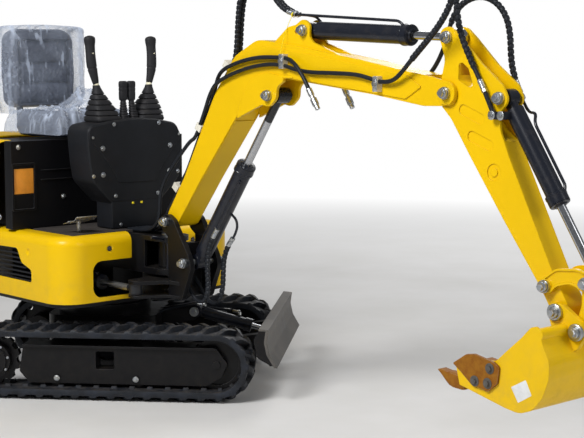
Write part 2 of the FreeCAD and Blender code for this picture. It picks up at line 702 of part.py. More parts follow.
def seat():
    """Cushion and upright back of the operator's seat."""
    back = [(-560, 1170, 30), (-470, 1154, 20), (-440, 1155, 10), (-435, 1515, 40), (-520, 1520, 40)]
    return box(-430, 0, -220, 220, 1040, 1150), plate_xz(back, -220, 220)


def swing_bracket():
    """Bracket on the swing pin: a boss between the nose plates, cheeks for the boom and a side arm."""
    boss = round_z(SWING_X, 0, 46, 531, 639)
    web = box(SWING_X + 10, 570, -40, 40, 540, 630)
    cheek = [(556, 425, 10), (640, 425, 20), (700, 560, 40), (680, 606, 34), (586, 740, 40), (540, 762, 38),
             (502, 735, 34), (520, 690, 20), (552, 668, 0)]
    cheeks = [plate_xz(cheek, y0, y0 + 22) for y0 in (-80, 58)]
    front = box(556, 592, -60, 60, SWING_CYL_Z - 32, 640)
    shelf = [(430, -200, 34), (500, -205, 36), (560, -90, 20), (640, -78, 0), (640, 78, 0), (552, 78, 20),
             (500, 60, 40), (410, 40, 50), (404, -60, 60), (428, -130, 20)]
    shelves = [plate_xy(shelf, SWING_CYL_Z + low, SWING_CYL_Z + high) for low, high in ((-32, -22), (22, 36))]
    whole = boss.fuse([web, front] + cheeks + shelves).removeSplitter()
    whole = whole.cut([
        round_z(SWING_X, 0, 22, 400, 700),
        box(400, 640, -59, 59, 668, 900),
        box(592, 660, -57, 57, 420, 500),
    ])
    for x, z in (BOOM_FOOT, BOOM_CYL_FOOT):
        whole = whole.cut(round_y(x, z, PIN_R, -100, 100))
    whole = whole.cut(round_z(SWING_X, SWING_EYE_Y, PIN_R, 400, 520))
    return whole


def boom():
    """Boom: a closed box bent at the knee, with raised side plates, cylinder ears and a fork for the arm."""
    outline = [
        (508, 745, 34),
        (625, 909, 200),
        (819, 1241, 300),
        (935, 1380, 110),
        (1066, 1442, 110),
        (1259, 1418, 200),
        (1603, 1368, 100),
        (1799, 1334, 40),
        (1923, 1316, 60),
        (2036, 1290, 40),
        (2028, 1222, 40),
        (1892, 1219, 100),
        (1662, 1252, 100),
        (1260, 1296, 100),
        (1130, 1312, 60),
        (956, 1160, 200),
        (736, 905, 200),
        (560, 690, 34),
    ]
    side = [
        (512, 742, 30),
        (630, 906, 200),
        (828, 1239, 300),
        (937, 1362, 100),
        (1068, 1422, 100),
        (1259, 1398, 200),
        (1603, 1352, 100),
        (1815, 1320, 0),
        (1882, 1281, 3),
        (1812, 1240, 0),
        (1662, 1258, 100),
        (1260, 1300, 100),
        (1136, 1316, 60),
        (958, 1166, 200),
        (738, 911, 200),
        (562, 694, 30),
    ]
    parts = [plate_xz(side, y0, y0 + BOOM_STEP) for y0 in (-BOOM_HALF, BOOM_HALF - BOOM_STEP)]
    pivot_x, pivot_z = ARM_PIVOT
    parts += [round_y(pivot_x, pivot_z, PIVOT_BOSS, y0, y0 + 12) for y0 in (-PIVOT_OUT, PIVOT_OUT - 12)]
    ear = [(960, 1150, 0), (970, 1205, 40), (1040, 1300, 60), (1127, 1322, 60), (1240, 1302, 30),
           (1182, 1270, 30), (1180, 1228, 34), (1140, 1196, 32), (1100, 1204, 30)]
    parts += [plate_xz(ear, y0, y0 + 12) for y0 in (-60, 48)]
    base_ear = [(1130, 1420, 0), (1218, 1484, 40), (1262, 1492, 30), (1300, 1514, 30), (1334, 1492, 26),
                (1332, 1446, 20), (1352, 1428, 20), (1400, 1413, 30), (1520, 1372, 0), (1150, 1380, 0)]
    parts += [plate_xz(base_ear, y0, y0 + 10) for y0 in (-38, 28)]
    whole = plate_xz(outline, -BOOM_HALF + BOOM_STEP, BOOM_HALF - BOOM_STEP).fuse(parts).removeSplitter()
    pocket = [(935, 1140, 0), (985, 1215, 0), (1040, 1310, 30), (1080, 1338, 30), (1130, 1338, 30),
              (1170, 1296, 20), (1210, 1290, 0), (1210, 1150, 0), (1000, 1080, 0)]
    whole = whole.cut(plate_xz(pocket, -48, 48))
    whole = whole.cut(round_y(ARM_PIVOT[0], ARM_PIVOT[1], 116, -46, 46))
    for x, z in (BOOM_CYL_EYE, ARM_CYL_BASE, ARM_PIVOT):
        whole = whole.cut(round_y(x, z, PIN_R, -100, 100))
    whole = whole.cut(round_y(1262, 1466, 7, -60, 60))
    return whole.cut(round_y(BOOM_FOOT[0], BOOM_FOOT[1], PIN_R + RUN, -100, 100))


def arm():
    """Arm: two side plates open at the tail, joined by a box section that tapers to the bucket's pin."""
    side = [
        (1944, 1455, 40),
        (1990, 1482, 40),
        (2040, 1440, 60),
        (2130, 1355, 80),
        (2215, 1290, 36),
        (2238, 1245, 30),
        (2206, 1205, 20),
        (2207, 1150, 60),
        (2247, 1063, 200),
        (2417, 734, 60),
        (2482, 632, 29),
        (2462, 586, 29),
        (2424, 602, 29),
        (2376, 676, 60),
        (2223, 877, 200),
        (2089, 1060, 200),
        (2005, 1180, 80),
        (1958, 1225, 40),
        (1955, 1290, 40),
        (1976, 1370, 60),
    ]
    core = [
        (1990, 1215, 30),
        (1985, 1300, 30),
        (2040, 1330, 30),
        (2110, 1230, 30),
        (2180, 1150, 20),
        (2222, 1117, 0),
        (2247, 1063, 200),
        (2417, 734, 60),
        (2482, 632, 29),
        (2462, 586, 29),
        (2424, 602, 29),
        (2376, 676, 60),
        (2223, 877, 200),
        (2089, 1060, 200),
        (2010, 1173, 40),
    ]
    plates = [plate_xz(side, y0, y0 + 9) for y0 in (-ARM_HALF, ARM_HALF - 9)]
    whole = plates[0].fuse([plates[1], plate_xz(core, -ARM_HALF + 4, ARM_HALF - 4)]).removeSplitter()
    window = [(2034, 1371, 12), (2074, 1342, 12), (2096, 1284, 8), (2077, 1282, 8), (2032, 1304, 12)]
    whole = whole.cut(plate_xz(window, -60, 60))
    pressed = []
    for edge in (-ARM_HALF, ARM_HALF - PRESSED):
        inner = edge + PRESSED
        for x0, z0, x1, z1 in ((2054, 1211, 2126, 1184), (2091, 1128, 2162, 1102)):
            length = math.hypot(x1 - x0, z1 - z0)
            slot = box(0, length, edge, inner, -SLOT_HALF, SLOT_HALF)
            ends = [round_y(x, 0, SLOT_HALF, edge, inner) for x in (0, length)]
            slot = slot.fuse(ends).removeSplitter()
            slot.rotate(V(0, 0, 0), V(0, 1, 0), math.degrees(math.atan2(z0 - z1, x1 - x0)))
            slot.translate(V(x0, 0, z0))
            pressed.append(slot)
        pressed.append(round_y(2184, 1019, 27, edge, inner).cut(round_y(2184, 1019, 14, edge, inner)))
    whole = whole.cut(pressed)
    for x, z in (ARM_CYL_EYE, BUCKET_CYL_BASE, IDLER_PIN):
        whole = whole.cut(round_y(x, z, PIN_R, -60, 60))
    for x, z in (ARM_PIVOT, BUCKET_PIN):
        whole = whole.cut(round_y(x, z, PIN_R + RUN, -60, 60))
    return whole


def idler_links():
    """Two arched links from the arm to the bucket link, one each side."""
    outline = [(2380, 668, 26), (2378, 700, 30), (2440, 745, 60), (2520, 752, 60), (2588, 735, 30),
               (2584, 690, 28), (2540, 686, 22), (2500, 706, 60), (2440, 690, 50), (2420, 662, 26)]
    made = []
    for side in (-1, 1):
        y0, y1 = sorted((side * 46, side * 58))
        face = Part.Face(rounded(outline, lambda p: V(p.x, side * 54, p.y)))
        sunk = face.makeOffset2D(-7).extrude(V(0, side * 5, 0))
        link = plate_xz(outline, y0, y1).cut(sunk)
        for x, z in (LINK_TOP, IDLER_PIN):
            link = link.fuse(round_y(x, z, 22, y0, y1)).removeSplitter()
        link = link.cut(round_y(LINK_TOP[0], LINK_TOP[1], PIN_R, y0, y1))
        made.append(link.cut(round_y(IDLER_PIN[0], IDLER_PIN[1], PIN_R + RUN, y0, y1)))
    return made


def bucket_link():
    """Bucket link: a boss in the bucket's ears and a fork around the cylinder's rod."""
    side = [(2530, 712, 24), (2536, 738, 24), (2578, 736, 24), (2580, 700, 24), (2562, 640, 60),
            (2558, 570, 30), (2548, 540, 22), (2512, 540, 22), (2506, 572, 24), (2530, 640, 60)]
    body = plate_xz(side, -43, 43)
    body = body.cut(box(2480, 2620, -27, 27, 648, 800))
    return body.cut(round_y(LINK_LOW[0], LINK_LOW[1], PIN_R + RUN, -60, 60)).cut(
        round_y(LINK_TOP[0], LINK_TOP[1], PIN_R, -60, 60))


def bucket():
    """Bucket: a curved plate between two side plates, a top tube and two ears."""
    x, z = TOP_TUBE
    back = [(2504, 536, 60), (2528, 490, 60), (2528, 440, 70), (2506, 380, 80), (2470, 335, 70),
            (2420, 317, 70), (2365, 325, 150)]
    lip = [(2185, 366, 0), (2180, 384, 0), (2170, 420, 10), (2250, 464, 10), (2326, 460, 40), (2368, 499, 60),
           (2425, 549, 60)]
    side_plate = [(2458, 584, 22), (2484, 592, 18)] + back + lip
    hollow = [(2496, 535, 52), (2520, 489, 52), (2520, 441, 62), (2498, 384, 72), (2465, 343, 62),
              (2419, 325, 62), (2366, 333, 142), (2186, 376, 0), (2100, 382, 0), (2100, 700, 0),
              (2560, 700, 0), (2560, z - 8, 0), (2488, z - 8, 0)]
    inside = BUCKET_HALF - BUCKET_SHEET
    shell_part = plate_xz(side_plate, -BUCKET_HALF, BUCKET_HALF).cut(plate_xz(hollow, -inside, inside))
    ear = [(2424, 608, 28), (2432, 644, 30), (2474, 642, 30), (2545, 596, 28), (2562, 556, 28),
           (2534, 512, 20), (2512, 500, 0), (2470, 535, 0), (2440, 560, 10)]
    ears = [plate_xz(ear, y0, y0 + EAR_OUTER - EAR_INNER) for y0 in (-EAR_OUTER, EAR_INNER)]
    tube = round_y(x, z, TUBE_R, -BUCKET_HALF, BUCKET_HALF)
    whole = shell_part.fuse(ears + [tube]).removeSplitter()
    for x, z in (BUCKET_PIN, LINK_LOW):
        whole = whole.cut(round_y(x, z, PIN_R, -80, 80))
    for place, room in ((BUCKET_PIN, 36), (LINK_LOW, 38)):
        whole = whole.cut(round_y(place[0], place[1], room, -EAR_INNER, EAR_INNER))
    return whole


def bucket_teeth(shell_part):
    made = []
    for y in (-170, -57, 57, 170):
        tooth = [(2091, 390, 0), (2186, 398, 0), (2200, 374, 0), (2186, 352, 0), (2170, 350, 0)]
        made.append(plate_xz(tooth, y - 20, y + 20).cut(shell_part))
    return made


def side_cutters():
    outline = [(2162, 432, 4), (2216, 468, 8), (2249, 474, 8), (2326, 460, 10), (2347, 447, 10),
               (2341, 396, 12), (2304, 365, 8), (2237, 378, 8), (2197, 409, 6)]
    return [plate_xz(outline, y, y + CUTTER) for y in (-BUCKET_HALF - CUTTER, BUCKET_HALF)]


def hose_clamps(hoses):
    """Blocks that hold the hoses on the boom: three behind it and one on each side at two places."""
    made = []
    for x, z, turn in CLAMPS_REAR:
        block = box(-CLAMP_HALF, CLAMP_HALF, -52, 52, -16, 16)
        block.rotate(V(0, 0, 0), V(0, 1, 0), -turn)
        block.translate(V(x, 0, z))
        made.append(block)
    for x, z in CLAMPS_SIDE:
        for side in (-1, 1):
            y0, y1 = sorted((side * BOOM_HALF, side * (BOOM_HALF + 24)))
            made.append(box(x - 11, x + 11, y0, y1, z - 26, z + 26))
    return [block.cut(hoses) for block in made]


def flat_route(route, y):
    return [(x, y, z) for x, z in route]


def foot_hoses():
    """Six hoses from under the deck over the nose and up the back of the boom to its second clamp."""
    made = []
    for i, y in enumerate(HOSE_YS):
        route = SLACK_ROUTE if i == 0 else CLOSE_ROUTE
        made += [tube(flat_route(route, side * y), HOSE_R) for side in (-1, 1)]
    return made


def boom_hoses():
    """The same six hoses on the boom: two a side along its sides and two up to the arm's cylinder."""
    made = []
    for route in (TIP_HOSE, AUX_HOSE, CYLINDER_HOSE):
        made += [tube(route, HOSE_R), tube(mirrored(route), HOSE_R)]
    return made


def coupler():
    """Quick coupler on the end of a free hose: ferrule, sleeve with two grooves and nose."""
    start = V(*FREE_HOSE[-1])
    along = (start - V(*FREE_HOSE[-2])).normalize()
    body = fuse(
        bar(start, start + along * 26, 10.5),
        bar(start + along * 26, start + along * 40, 8),
        bar(start + along * 40, start + along * 66, 12),
        bar(start + along * 66, start + along * 82, 9),
    )
    return body


def on_ram(base, eye):
    """Points beside a cylinder: along it from the base pin, out to its front and across."""
    b = V(base[0], 0, base[1])
    along = (V(eye[0], 0, eye[1]) - b).normalize()
    front = V(-along.z, 0, along.x) if along.z < 0 else V(along.z, 0, -along.x)
    return lambda t, out, y: tuple(b + along * t + front * out + V(0, y, 0))


def boom_ram_pipes():
    at = on_ram(BOOM_CYL_FOOT, BOOM_CYL_EYE)
    low, high, port = (V(*at(*place)) for place in ((200, 32, -28), (430, 32, -28), (430, 20, -16)))
    right = fuse(bar(low, high, PIPE_R), bar(high, port, PORT_R))
    left = tube([at(185, 75, 30), at(205, 76, 30), at(240, 72, 28), at(264, 56, 22), at(272, 22, 10)], PIPE_R)
    return [right, left]


def arm_ram_pipes():
    right = tube([(1236, -9, 1529), (1736, -9, 1498), (1756, -8, 1486), (1760, -6, 1470)], PIPE_R)
    left = tube([(1246, 9, 1528), (1270, 9, 1526.5), (1318, 9, 1520), (1344, 8, 1500), (1350, 6, 1482)],
                PIPE_R)
    return [right, left]


def bucket_ram_pipes():
    at = on_ram(BUCKET_CYL_BASE, LINK_TOP)
    block = box(2178, 2238, -66, -46, 1186, 1210)
    stub = box(2212, 2238, -47, -20, 1186, 1210)
    nut = bar(V(2190, -56, 1203), V(2157, -56, 1266), 8)
    left = tube([(2201, 62, 1262), (2212, 62, 1240), (2236, 60, 1206), at(78, 36, 46), at(110, 30, 24),
                 at(330, 30, 24), at(344, 26, 19), at(351, 20, 12)], PIPE_R)
    return [fuse(block, stub, nut), left]


def main():
    os.makedirs("parts", exist_ok=True)
    loop = right_track()
    save("track_right", loop)
    save("track_left", loop.mirror(V(0, 0, 0), V(0, 1, 0)))
    save("track_frames", track_frame(-1), track_frame(1))
    save("idlers", idler(-1), idler(1))
    save("sprockets", sprocket(-1), sprocket(1))
    save("travel_motors", *travel_motor(-1), *travel_motor(1))
    save("rollers", *rollers(-1), *rollers(1))
    save("car_body", car_body())
    save("slew_ring", round_z(0, 0, SLEW_RADIUS, CAR_TOP, SLEW_TOP))
    save("blade", blade().cut(blade_face()))
    save("blade_face", blade_face())
    barrel, rod = ram(BLADE_CYL_BASE, BLADE_CYL_EYE, 25, 12, 250, 130, 22)
    save("blade_cylinder", barrel)
    save("blade_rod", rod)
    pins = []
    for y in (-BLADE_ARM_Y, BLADE_ARM_Y):
        pin = through_pin(BLADE_PIVOT[0], BLADE_PIVOT[1], 34)
        pin.translate(V(0, y, 0))
        pins.append(pin)
    save("car_pins", *pins, through_pin(BLADE_CYL_BASE[0], BLADE_CYL_BASE[1], 36))
    save("blade_pins", *pin_heads(BLADE_CYL_EYE[0], BLADE_CYL_EYE[1], 24, 36))

    save("upper_frame", upper_frame(), upper=True)
    right, left = skirts()
    save("skirt_right", right, upper=True)
    save("skirt_left", left, upper=True)
    save("vent_grille", vent_grille(), upper=True)
    save("counterweight", counterweight(), upper=True)
    save("engine_cover", engine_cover(), upper=True)
    save("engine", box(-592, -372, -230, 230, SKIRT_LOW, 880), upper=True)
    save("seat_box", seat_box(), upper=True)
    mat = plate_xy([(-14, -356, 20), (298, -356, 60), (298, 356, 60), (-14, 356, 20)], DECK_Z - 8, DECK_Z + 2)
    save("floor_mat", mat.cut(box(232, 300, -64, 64, DECK_Z - 10, DECK_Z + 10)), upper=True)
    control_box = console()
    save("console", control_box, upper=True)
    boot_pair = [boot.cut(control_box) for boot in boots()]
    save("joystick_boots", *boot_pair, upper=True)
    save("joysticks", *[stick.cut(boot) for stick, boot in zip(joysticks(), boot_pair)], upper=True)
    save("travel_levers", *[lever.cut(control_box) for lever in travel_levers()], upper=True)
    save("pedal", pedal(), upper=True)
    save("seat", *seat(), upper=True)

    bracket = swing_bracket()
    save("swing_bracket", bracket, upper=True)
    save("bracket_pins", swing_pin(), through_pin(BOOM_FOOT[0], BOOM_FOOT[1], 80),
         through_pin(BOOM_CYL_FOOT[0], BOOM_CYL_FOOT[1], 80), upper=True)
    barrel, rod = ram(SWING_CYL_BASE, (SWING_X, SWING_CYL_BASE[1]), 30, 13, 365, 175, 20)
    for name, shape in (("swing_cylinder", barrel), ("swing_rod", rod)):
        shape.rotate(V(0, 0, 0), V(1, 0, 0), 90)
        shape.translate(V(0, 0, SWING_CYL_Z))
        flat = shape.mirror(V(0, 0, 0), V(0, 1, 0))
        save(name, flat, upper=True)

    save("boom", boom(), upper=True)
    held = boom_hoses()
    foot = foot_hoses()
    over = [tube(OVER_RIGHT, HOSE_R), tube(OVER_LEFT, HOSE_R)]
    free = [tube(FREE_HOSE, HOSE_R), tube(mirrored(FREE_HOSE), HOSE_R)]
    save("boom_hoses", *held, upper=True)
    save("foot_hoses", *foot, upper=True)
    save("arm_hoses", *over, upper=True)
    save("aux_hose_right", free[0], upper=True)
    save("aux_hose_left", free[1], upper=True)
    save("hose_clamps", *hose_clamps(held + foot + over + free), upper=True)
    rising = [tube(route, HOSE_R).cut(bracket) for route in (BOOM_CYL_RIGHT, BOOM_CYL_LEFT)]
    save("boom_cylinder_hoses", *rising, upper=True)
    save("quick_coupler_right", coupler(), upper=True)
    save("quick_coupler_left", coupler().mirror(V(0, 0, 0), V(0, 1, 0)), upper=True)
    barrel, rod = ram(BOOM_CYL_FOOT, BOOM_CYL_EYE, 34, 16, 490, 190, 30)
    save("boom_cylinder", barrel, *[pipe.cut(barrel) for pipe in boom_ram_pipes()], upper=True)
    save("boom_rod", rod, upper=True)
    save("boom_pins", *pin_heads(BOOM_CYL_EYE[0], BOOM_CYL_EYE[1], 48, 60),
         through_pin(ARM_CYL_BASE[0], ARM_CYL_BASE[1], 38),
         through_pin(ARM_PIVOT[0], ARM_PIVOT[1], PIVOT_OUT), upper=True)
    barrel, rod = ram(ARM_CYL_BASE, ARM_CYL_EYE, 32, 14, 487, 200, 24)
    save("arm_cylinder", barrel, *[pipe.cut(barrel) for pipe in arm_ram_pipes()], upper=True)
    save("arm_rod", rod, upper=True)
    save("arm", arm(), upper=True)
    save("arm_pins", *pin_heads(ARM_CYL_EYE[0], ARM_CYL_EYE[1], 33, ARM_HALF),
         through_pin(BUCKET_CYL_BASE[0], BUCKET_CYL_BASE[1], ARM_HALF),
         *pin_heads(IDLER_PIN[0], IDLER_PIN[1], 33, 58), upper=True)
    barrel, rod = ram(BUCKET_CYL_BASE, LINK_TOP, 30, 14, 378, 130, 22)
    save("bucket_cylinder", barrel, *[pipe.cut(barrel) for pipe in bucket_ram_pipes()], upper=True)
    save("bucket_rod", rod, upper=True)
    save("idler_links", *idler_links(), upper=True)
    save("idler_pins", *pin_heads(LINK_TOP[0], LINK_TOP[1], 46, 58), upper=True)
    save("bucket_link", bucket_link(), upper=True)
    bucket_shell = bucket()
    save("bucket", bucket_shell, upper=True)
    save("bucket_teeth", *bucket_teeth(bucket_shell), upper=True)
    save("side_cutters", *side_cutters(), upper=True)
    save("bucket_pins", through_pin(BUCKET_PIN[0], BUCKET_PIN[1], 66),
         through_pin(LINK_LOW[0], LINK_LOW[1], 66), upper=True)


def print_bends():
    """Smallest bend of each route, against the diameter of its hose."""
    routes = (("free", FREE_HOSE), ("tip", TIP_HOSE), ("auxiliary", AUX_HOSE), ("cylinder", CYLINDER_HOSE),
              ("over right", OVER_RIGHT), ("over left", OVER_LEFT), ("slack", flat_route(SLACK_ROUTE, 0)),
              ("close", flat_route(CLOSE_ROUTE, 0)), ("boom cylinder right", BOOM_CYL_RIGHT),
              ("boom cylinder left", BOOM_CYL_LEFT))
    for name, route in routes:
        smallest = min(arc[3] for arc in bends(route))
        print("%-20s smallest bend %3.0f, diameter %.0f" % (name, smallest, 2 * HOSE_R))


main()
print_bends()
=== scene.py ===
import json
import math

import bpy
import numpy as np
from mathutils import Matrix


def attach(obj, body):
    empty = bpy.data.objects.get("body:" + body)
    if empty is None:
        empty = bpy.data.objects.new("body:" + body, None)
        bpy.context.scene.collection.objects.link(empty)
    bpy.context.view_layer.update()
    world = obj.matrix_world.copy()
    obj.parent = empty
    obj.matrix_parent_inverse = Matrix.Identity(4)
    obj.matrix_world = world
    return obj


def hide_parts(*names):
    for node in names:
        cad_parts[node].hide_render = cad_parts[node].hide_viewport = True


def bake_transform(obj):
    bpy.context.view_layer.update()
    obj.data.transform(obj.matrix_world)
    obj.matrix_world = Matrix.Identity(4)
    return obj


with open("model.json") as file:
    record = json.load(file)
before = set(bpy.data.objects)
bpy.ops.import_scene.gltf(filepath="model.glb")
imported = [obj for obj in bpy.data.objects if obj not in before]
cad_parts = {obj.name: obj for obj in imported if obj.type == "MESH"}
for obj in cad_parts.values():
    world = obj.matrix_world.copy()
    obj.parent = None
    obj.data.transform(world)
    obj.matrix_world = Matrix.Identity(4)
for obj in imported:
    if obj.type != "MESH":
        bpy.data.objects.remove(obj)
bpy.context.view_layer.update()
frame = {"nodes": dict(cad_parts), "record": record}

bl_info = {
    "name": "Mini Excavator Looks",
    "version": (1, 0, 0),
    "blender": (4, 5, 0),
    "location": "3D View > Sidebar > Excavator",
    "description": "Dresses the jointed mini excavator: paint, tracks, hoses, seat, controls and fasteners",
    "category": "Object",
}

# Lengths are in metres. The upper structure and everything in front of it are drawn in their own
# frame, forward along X, and turned about the slew axis by SLEW to where they stand.
SLEW = math.radians(-42.0)
SIDES = (-1, 1)

# Undercarriage
IDLER_X = 0.548
SPROCKET_X = -0.372
TRACK_RADIUS = 0.151
TRACK_WIDTH = 0.180
TRACK_Y = 0.375
BELT_OUTER = 0.130
BELT_INNER = 0.106
ROLLER_X = (-0.105, 0.220)
ROLLER_Z = 0.085
FRAME_HALF = 0.042

# Pins of the blade's and the swing cylinder, (x, y, z)
BLADE_CYL_BASE = (0.395, 0.0, 0.297)
BLADE_CYL_EYE = (0.700, 0.0, 0.218)
SWING_EYE = (0.460, -0.170, 0.457)

# Pins of the front, (x, z) in the boom's plane
BOOM_FOOT = (0.540, 0.727)
BOOM_CYL_FOOT = (0.656, 0.572)
BOOM_CYL_EYE = (1.136, 1.238)
ARM_CYL_BASE = (1.302, 1.472)
ARM_PIVOT = (1.993, 1.263)
ARM_CYL_EYE = (1.985, 1.441)
BUCKET_CYL_BASE = (2.203, 1.251)
LINK_TOP = (2.556, 0.712)
IDLER_PIN = (2.404, 0.687)
BUCKET_PIN = (2.453, 0.615)
LINK_LOW = (2.532, 0.564)

# Hose routes, (x, y, z). The free one hangs from the clamp on the boom's side.
FREE_HOSE = [(1.236, -.068, 1.374), (1.264, -.072, 1.370), (1.293, -.079, 1.358), (1.319, -.084, 1.341),
             (1.343, -.087, 1.319), (1.364, -.088, 1.294), (1.382, -.087, 1.266)]
# Routes of the foot hoses, (x, z), and how far they stand from the boom's plane
SLACK_ROUTE = [(.242, .669), (.320, .670), (.394, .678), (.438, .706), (.458, .752), (.458, .800), (.469, .846),
               (.495, .890), (.531, .930), (.574, .974), (.616, 1.014), (.660, 1.052), (.690, 1.063), (.708, 1.094)]
CLOSE_ROUTE = [(.242, .669), (.322, .670), (.396, .676), (.444, .696), (.472, .730), (.491, .768), (.524, .806),
               (.567, .864), (.609, .921), (.643, .980), (.679, 1.044), (.708, 1.094)]
HOSE_YS = (.046, .027, .009)
# Routes of the boom's, the arm's and the boom cylinder's hoses, (x, y, z)
TIP_HOSE = [(.722, -.046, 1.118), (.757, -.048, 1.178), (.796, -.058, 1.236), (.842, -.068, 1.276),
            (.904, -.068, 1.303), (.971, -.068, 1.323), (1.039, -.068, 1.339), (1.113, -.068, 1.349),
            (1.180, -.068, 1.352), (1.240, -.068, 1.346), (1.300, -.068, 1.331), (1.372, -.068, 1.324),
            (1.464, -.068, 1.323), (1.560, -.068, 1.321), (1.628, -.068, 1.315), (1.685, -.068, 1.301)]
AUX_HOSE = [(.722, -.027, 1.118), (.758, -.027, 1.182), (.798, -.034, 1.250), (.836, -.052, 1.298),
            (.882, -.068, 1.327), (.936, -.068, 1.347), (1.000, -.068, 1.363), (1.062, -.068, 1.373),
            (1.128, -.068, 1.378), (1.214, -.068, 1.376)]
CYLINDER_HOSE = [(.722, .009, 1.118), (.760, .009, 1.184), (.802, .009, 1.250), (.840, .009, 1.298),
                 (.872, .009, 1.334), (.893, .009, 1.376), (.901, .009, 1.434), (.906, .009, 1.510),
                 (.918, .010, 1.592), (.950, .010, 1.650), (1.002, .010, 1.674), (1.054, .010, 1.660),
                 (1.094, .010, 1.618), (1.130, .009, 1.576), (1.176, .009, 1.544), (1.233, .009, 1.529)]
OVER_RIGHT = [(1.707, -.068, 1.296), (1.742, -.070, 1.294), (1.786, -.075, 1.304), (1.830, -.083, 1.334),
              (1.890, -.094, 1.382), (1.959, -.108, 1.431), (2.028, -.124, 1.483), (2.084, -.138, 1.545),
              (2.110, -.150, 1.618), (2.110, -.150, 1.674), (2.085, -.123, 1.712), (2.051, -.085, 1.712),
              (2.027, -.058, 1.674), (2.027, -.058, 1.618), (2.034, -.059, 1.560), (2.041, -.059, 1.500),
              (2.056, -.058, 1.446), (2.083, -.057, 1.391), (2.117, -.056, 1.333), (2.156, -.056, 1.268)]
OVER_LEFT = [(1.707, .068, 1.296), (1.746, .066, 1.292), (1.792, .064, 1.304), (1.832, .062, 1.336),
             (1.868, .060, 1.386), (1.892, .060, 1.438), (1.908, .060, 1.492), (1.940, .060, 1.540),
             (1.990, .060, 1.567), (2.048, .058, 1.572), (2.104, .058, 1.550), (2.142, .059, 1.506),
             (2.158, .060, 1.446), (2.160, .061, 1.380), (2.171, .062, 1.322), (2.200, .062, 1.264)]
BOOM_CYL_RIGHT = [(.798, -.028, .714), (.770, -.030, .676), (.750, -.032, .632), (.742, -.032, .584),
                  (.743, -.032, .534), (.747, -.032, .486), (.738, -.032, .444), (.709, -.031, .418),
                  (.672, -.030, .420), (.640, -.030, .444), (.614, -.030, .478), (.588, -.030, .504)]
BOOM_CYL_LEFT = [(.824, .030, .677), (.790, .030, .640), (.768, .031, .592), (.762, .032, .538),
                 (.760, .032, .482), (.744, .032, .432), (.712, .031, .406), (.674, .030, .410),
                 (.642, .030, .436), (.614, .030, .472), (.588, .030, .500)]


def length(name, description, default, **more):
    return bpy.props.FloatProperty(name=name, description=description, default=default,
                                   subtype="DISTANCE", unit="LENGTH", precision=4, **more)


def tint(name, description, default):
    return bpy.props.FloatVectorProperty(name=name, description=description, default=default,
                                         subtype="COLOR", size=3, min=0.0, max=1.0)


class ExcavatorPaint(bpy.types.PropertyGroup):
    """Colours of the finishes."""

    yellow: tint("Yellow", "Gloss yellow of the boom, arm, bucket and covers", (0.86, 0.535, 0.001))
    black: tint("Black", "Satin black of the frames", (0.0045, 0.0045, 0.0055))
    plastic: tint("Plastic", "Moulded black plastic", (0.0085, 0.0095, 0.0120))
    rubber: tint("Rubber", "Tracks and hoses", (0.0105, 0.0125, 0.0165))
    tooth: tint("Teeth", "Primer on teeth and side cutters", (0.235, 0.082, 0.008))
    dust: tint("Dust", "Dried dust on low and level faces", (0.23, 0.19, 0.15))
    film: tint("Film", "Clear film over the seat", (0.56, 0.63, 0.77))
    label: tint("Label", "Blank label on the seat box", (0.86, 0.33, 0.035))


class ExcavatorSizes(bpy.types.PropertyGroup):
    """Sizes of the pieces that the looks add."""

    hose_radius: length("Hose radius", "Outside radius of the hoses", 0.0075)
    wrap_pitch: length("Wrap pitch", "Advance of the spiral guard in one turn", 0.018)
    bar_height: length("Bar height", "Height of a track bar over its belt", 0.021)
    bars: bpy.props.IntProperty(name="Bars", description="Bars on each half of a track", default=38, min=20)
    film_crumple: length("Film crumple", "Height of the folds in the film", 0.010)


class ExcavatorStage(bpy.types.PropertyGroup):
    """Camera, floor and light."""

    place: bpy.props.FloatVectorProperty(name="Camera", description="Camera position", size=3,
                                         default=(1.415, -6.0165, 1.381), subtype="TRANSLATION")
    lens: bpy.props.FloatProperty(name="Lens", description="Focal length in mm", default=88.59, min=10)
    yaw: bpy.props.FloatProperty(name="Yaw", description="Turn to the left of +Y", subtype="ANGLE",
                                 default=math.radians(5.74))
    pitch: bpy.props.FloatProperty(name="Pitch", description="Tilt below level", subtype="ANGLE",
                                   default=math.radians(6.47))
    key: bpy.props.FloatProperty(name="Key", description="Power of the main lamp in watts", default=300.0, min=0)
    sky: bpy.props.FloatProperty(name="Sky", description="Strength of the surrounding light", default=0.21, min=0)


# Places and shapes


def turned(points):
    """Points of the upper frame, turned by SLEW: x' = x cos - y sin, y' = x sin + y cos."""
    p = np.asarray(points, float)
    c, s = math.cos(SLEW), math.sin(SLEW)
    return np.stack([p[..., 0] * c - p[..., 1] * s, p[..., 0] * s + p[..., 1] * c, p[..., 2]], -1)


def in_plane(pin):
    """Point (x, 0, z) of a pin in the boom's plane."""
    return np.array([pin[0], 0.0, pin[1]])


def unit(vectors):
    """Vectors divided by their lengths."""
    v = np.asarray(vectors, float)
    return v / np.linalg.norm(v, axis=-1, keepdims=True)


def grid(n, m, closed_n=False, closed_m=False):
    """Faces of an (n, m) grid of points, each round (i, j), (i + 1, j), (i + 1, j + 1) and (i, j + 1)."""
    i, j = np.meshgrid(np.arange(n if closed_n else n - 1), np.arange(m if closed_m else m - 1), indexing="ij")
    i, j = i.ravel(), j.ravel()
    after, beside = (i + 1) % n, (j + 1) % m
    return np.stack([i * m + j, after * m + j, after * m + beside, i * m + beside], 1)


def smooth(t):
    """Smoothstep of t between 0 and 1."""
    t = np.clip(t, 0.0, 1.0)
    return t * t * (3 - 2 * t)


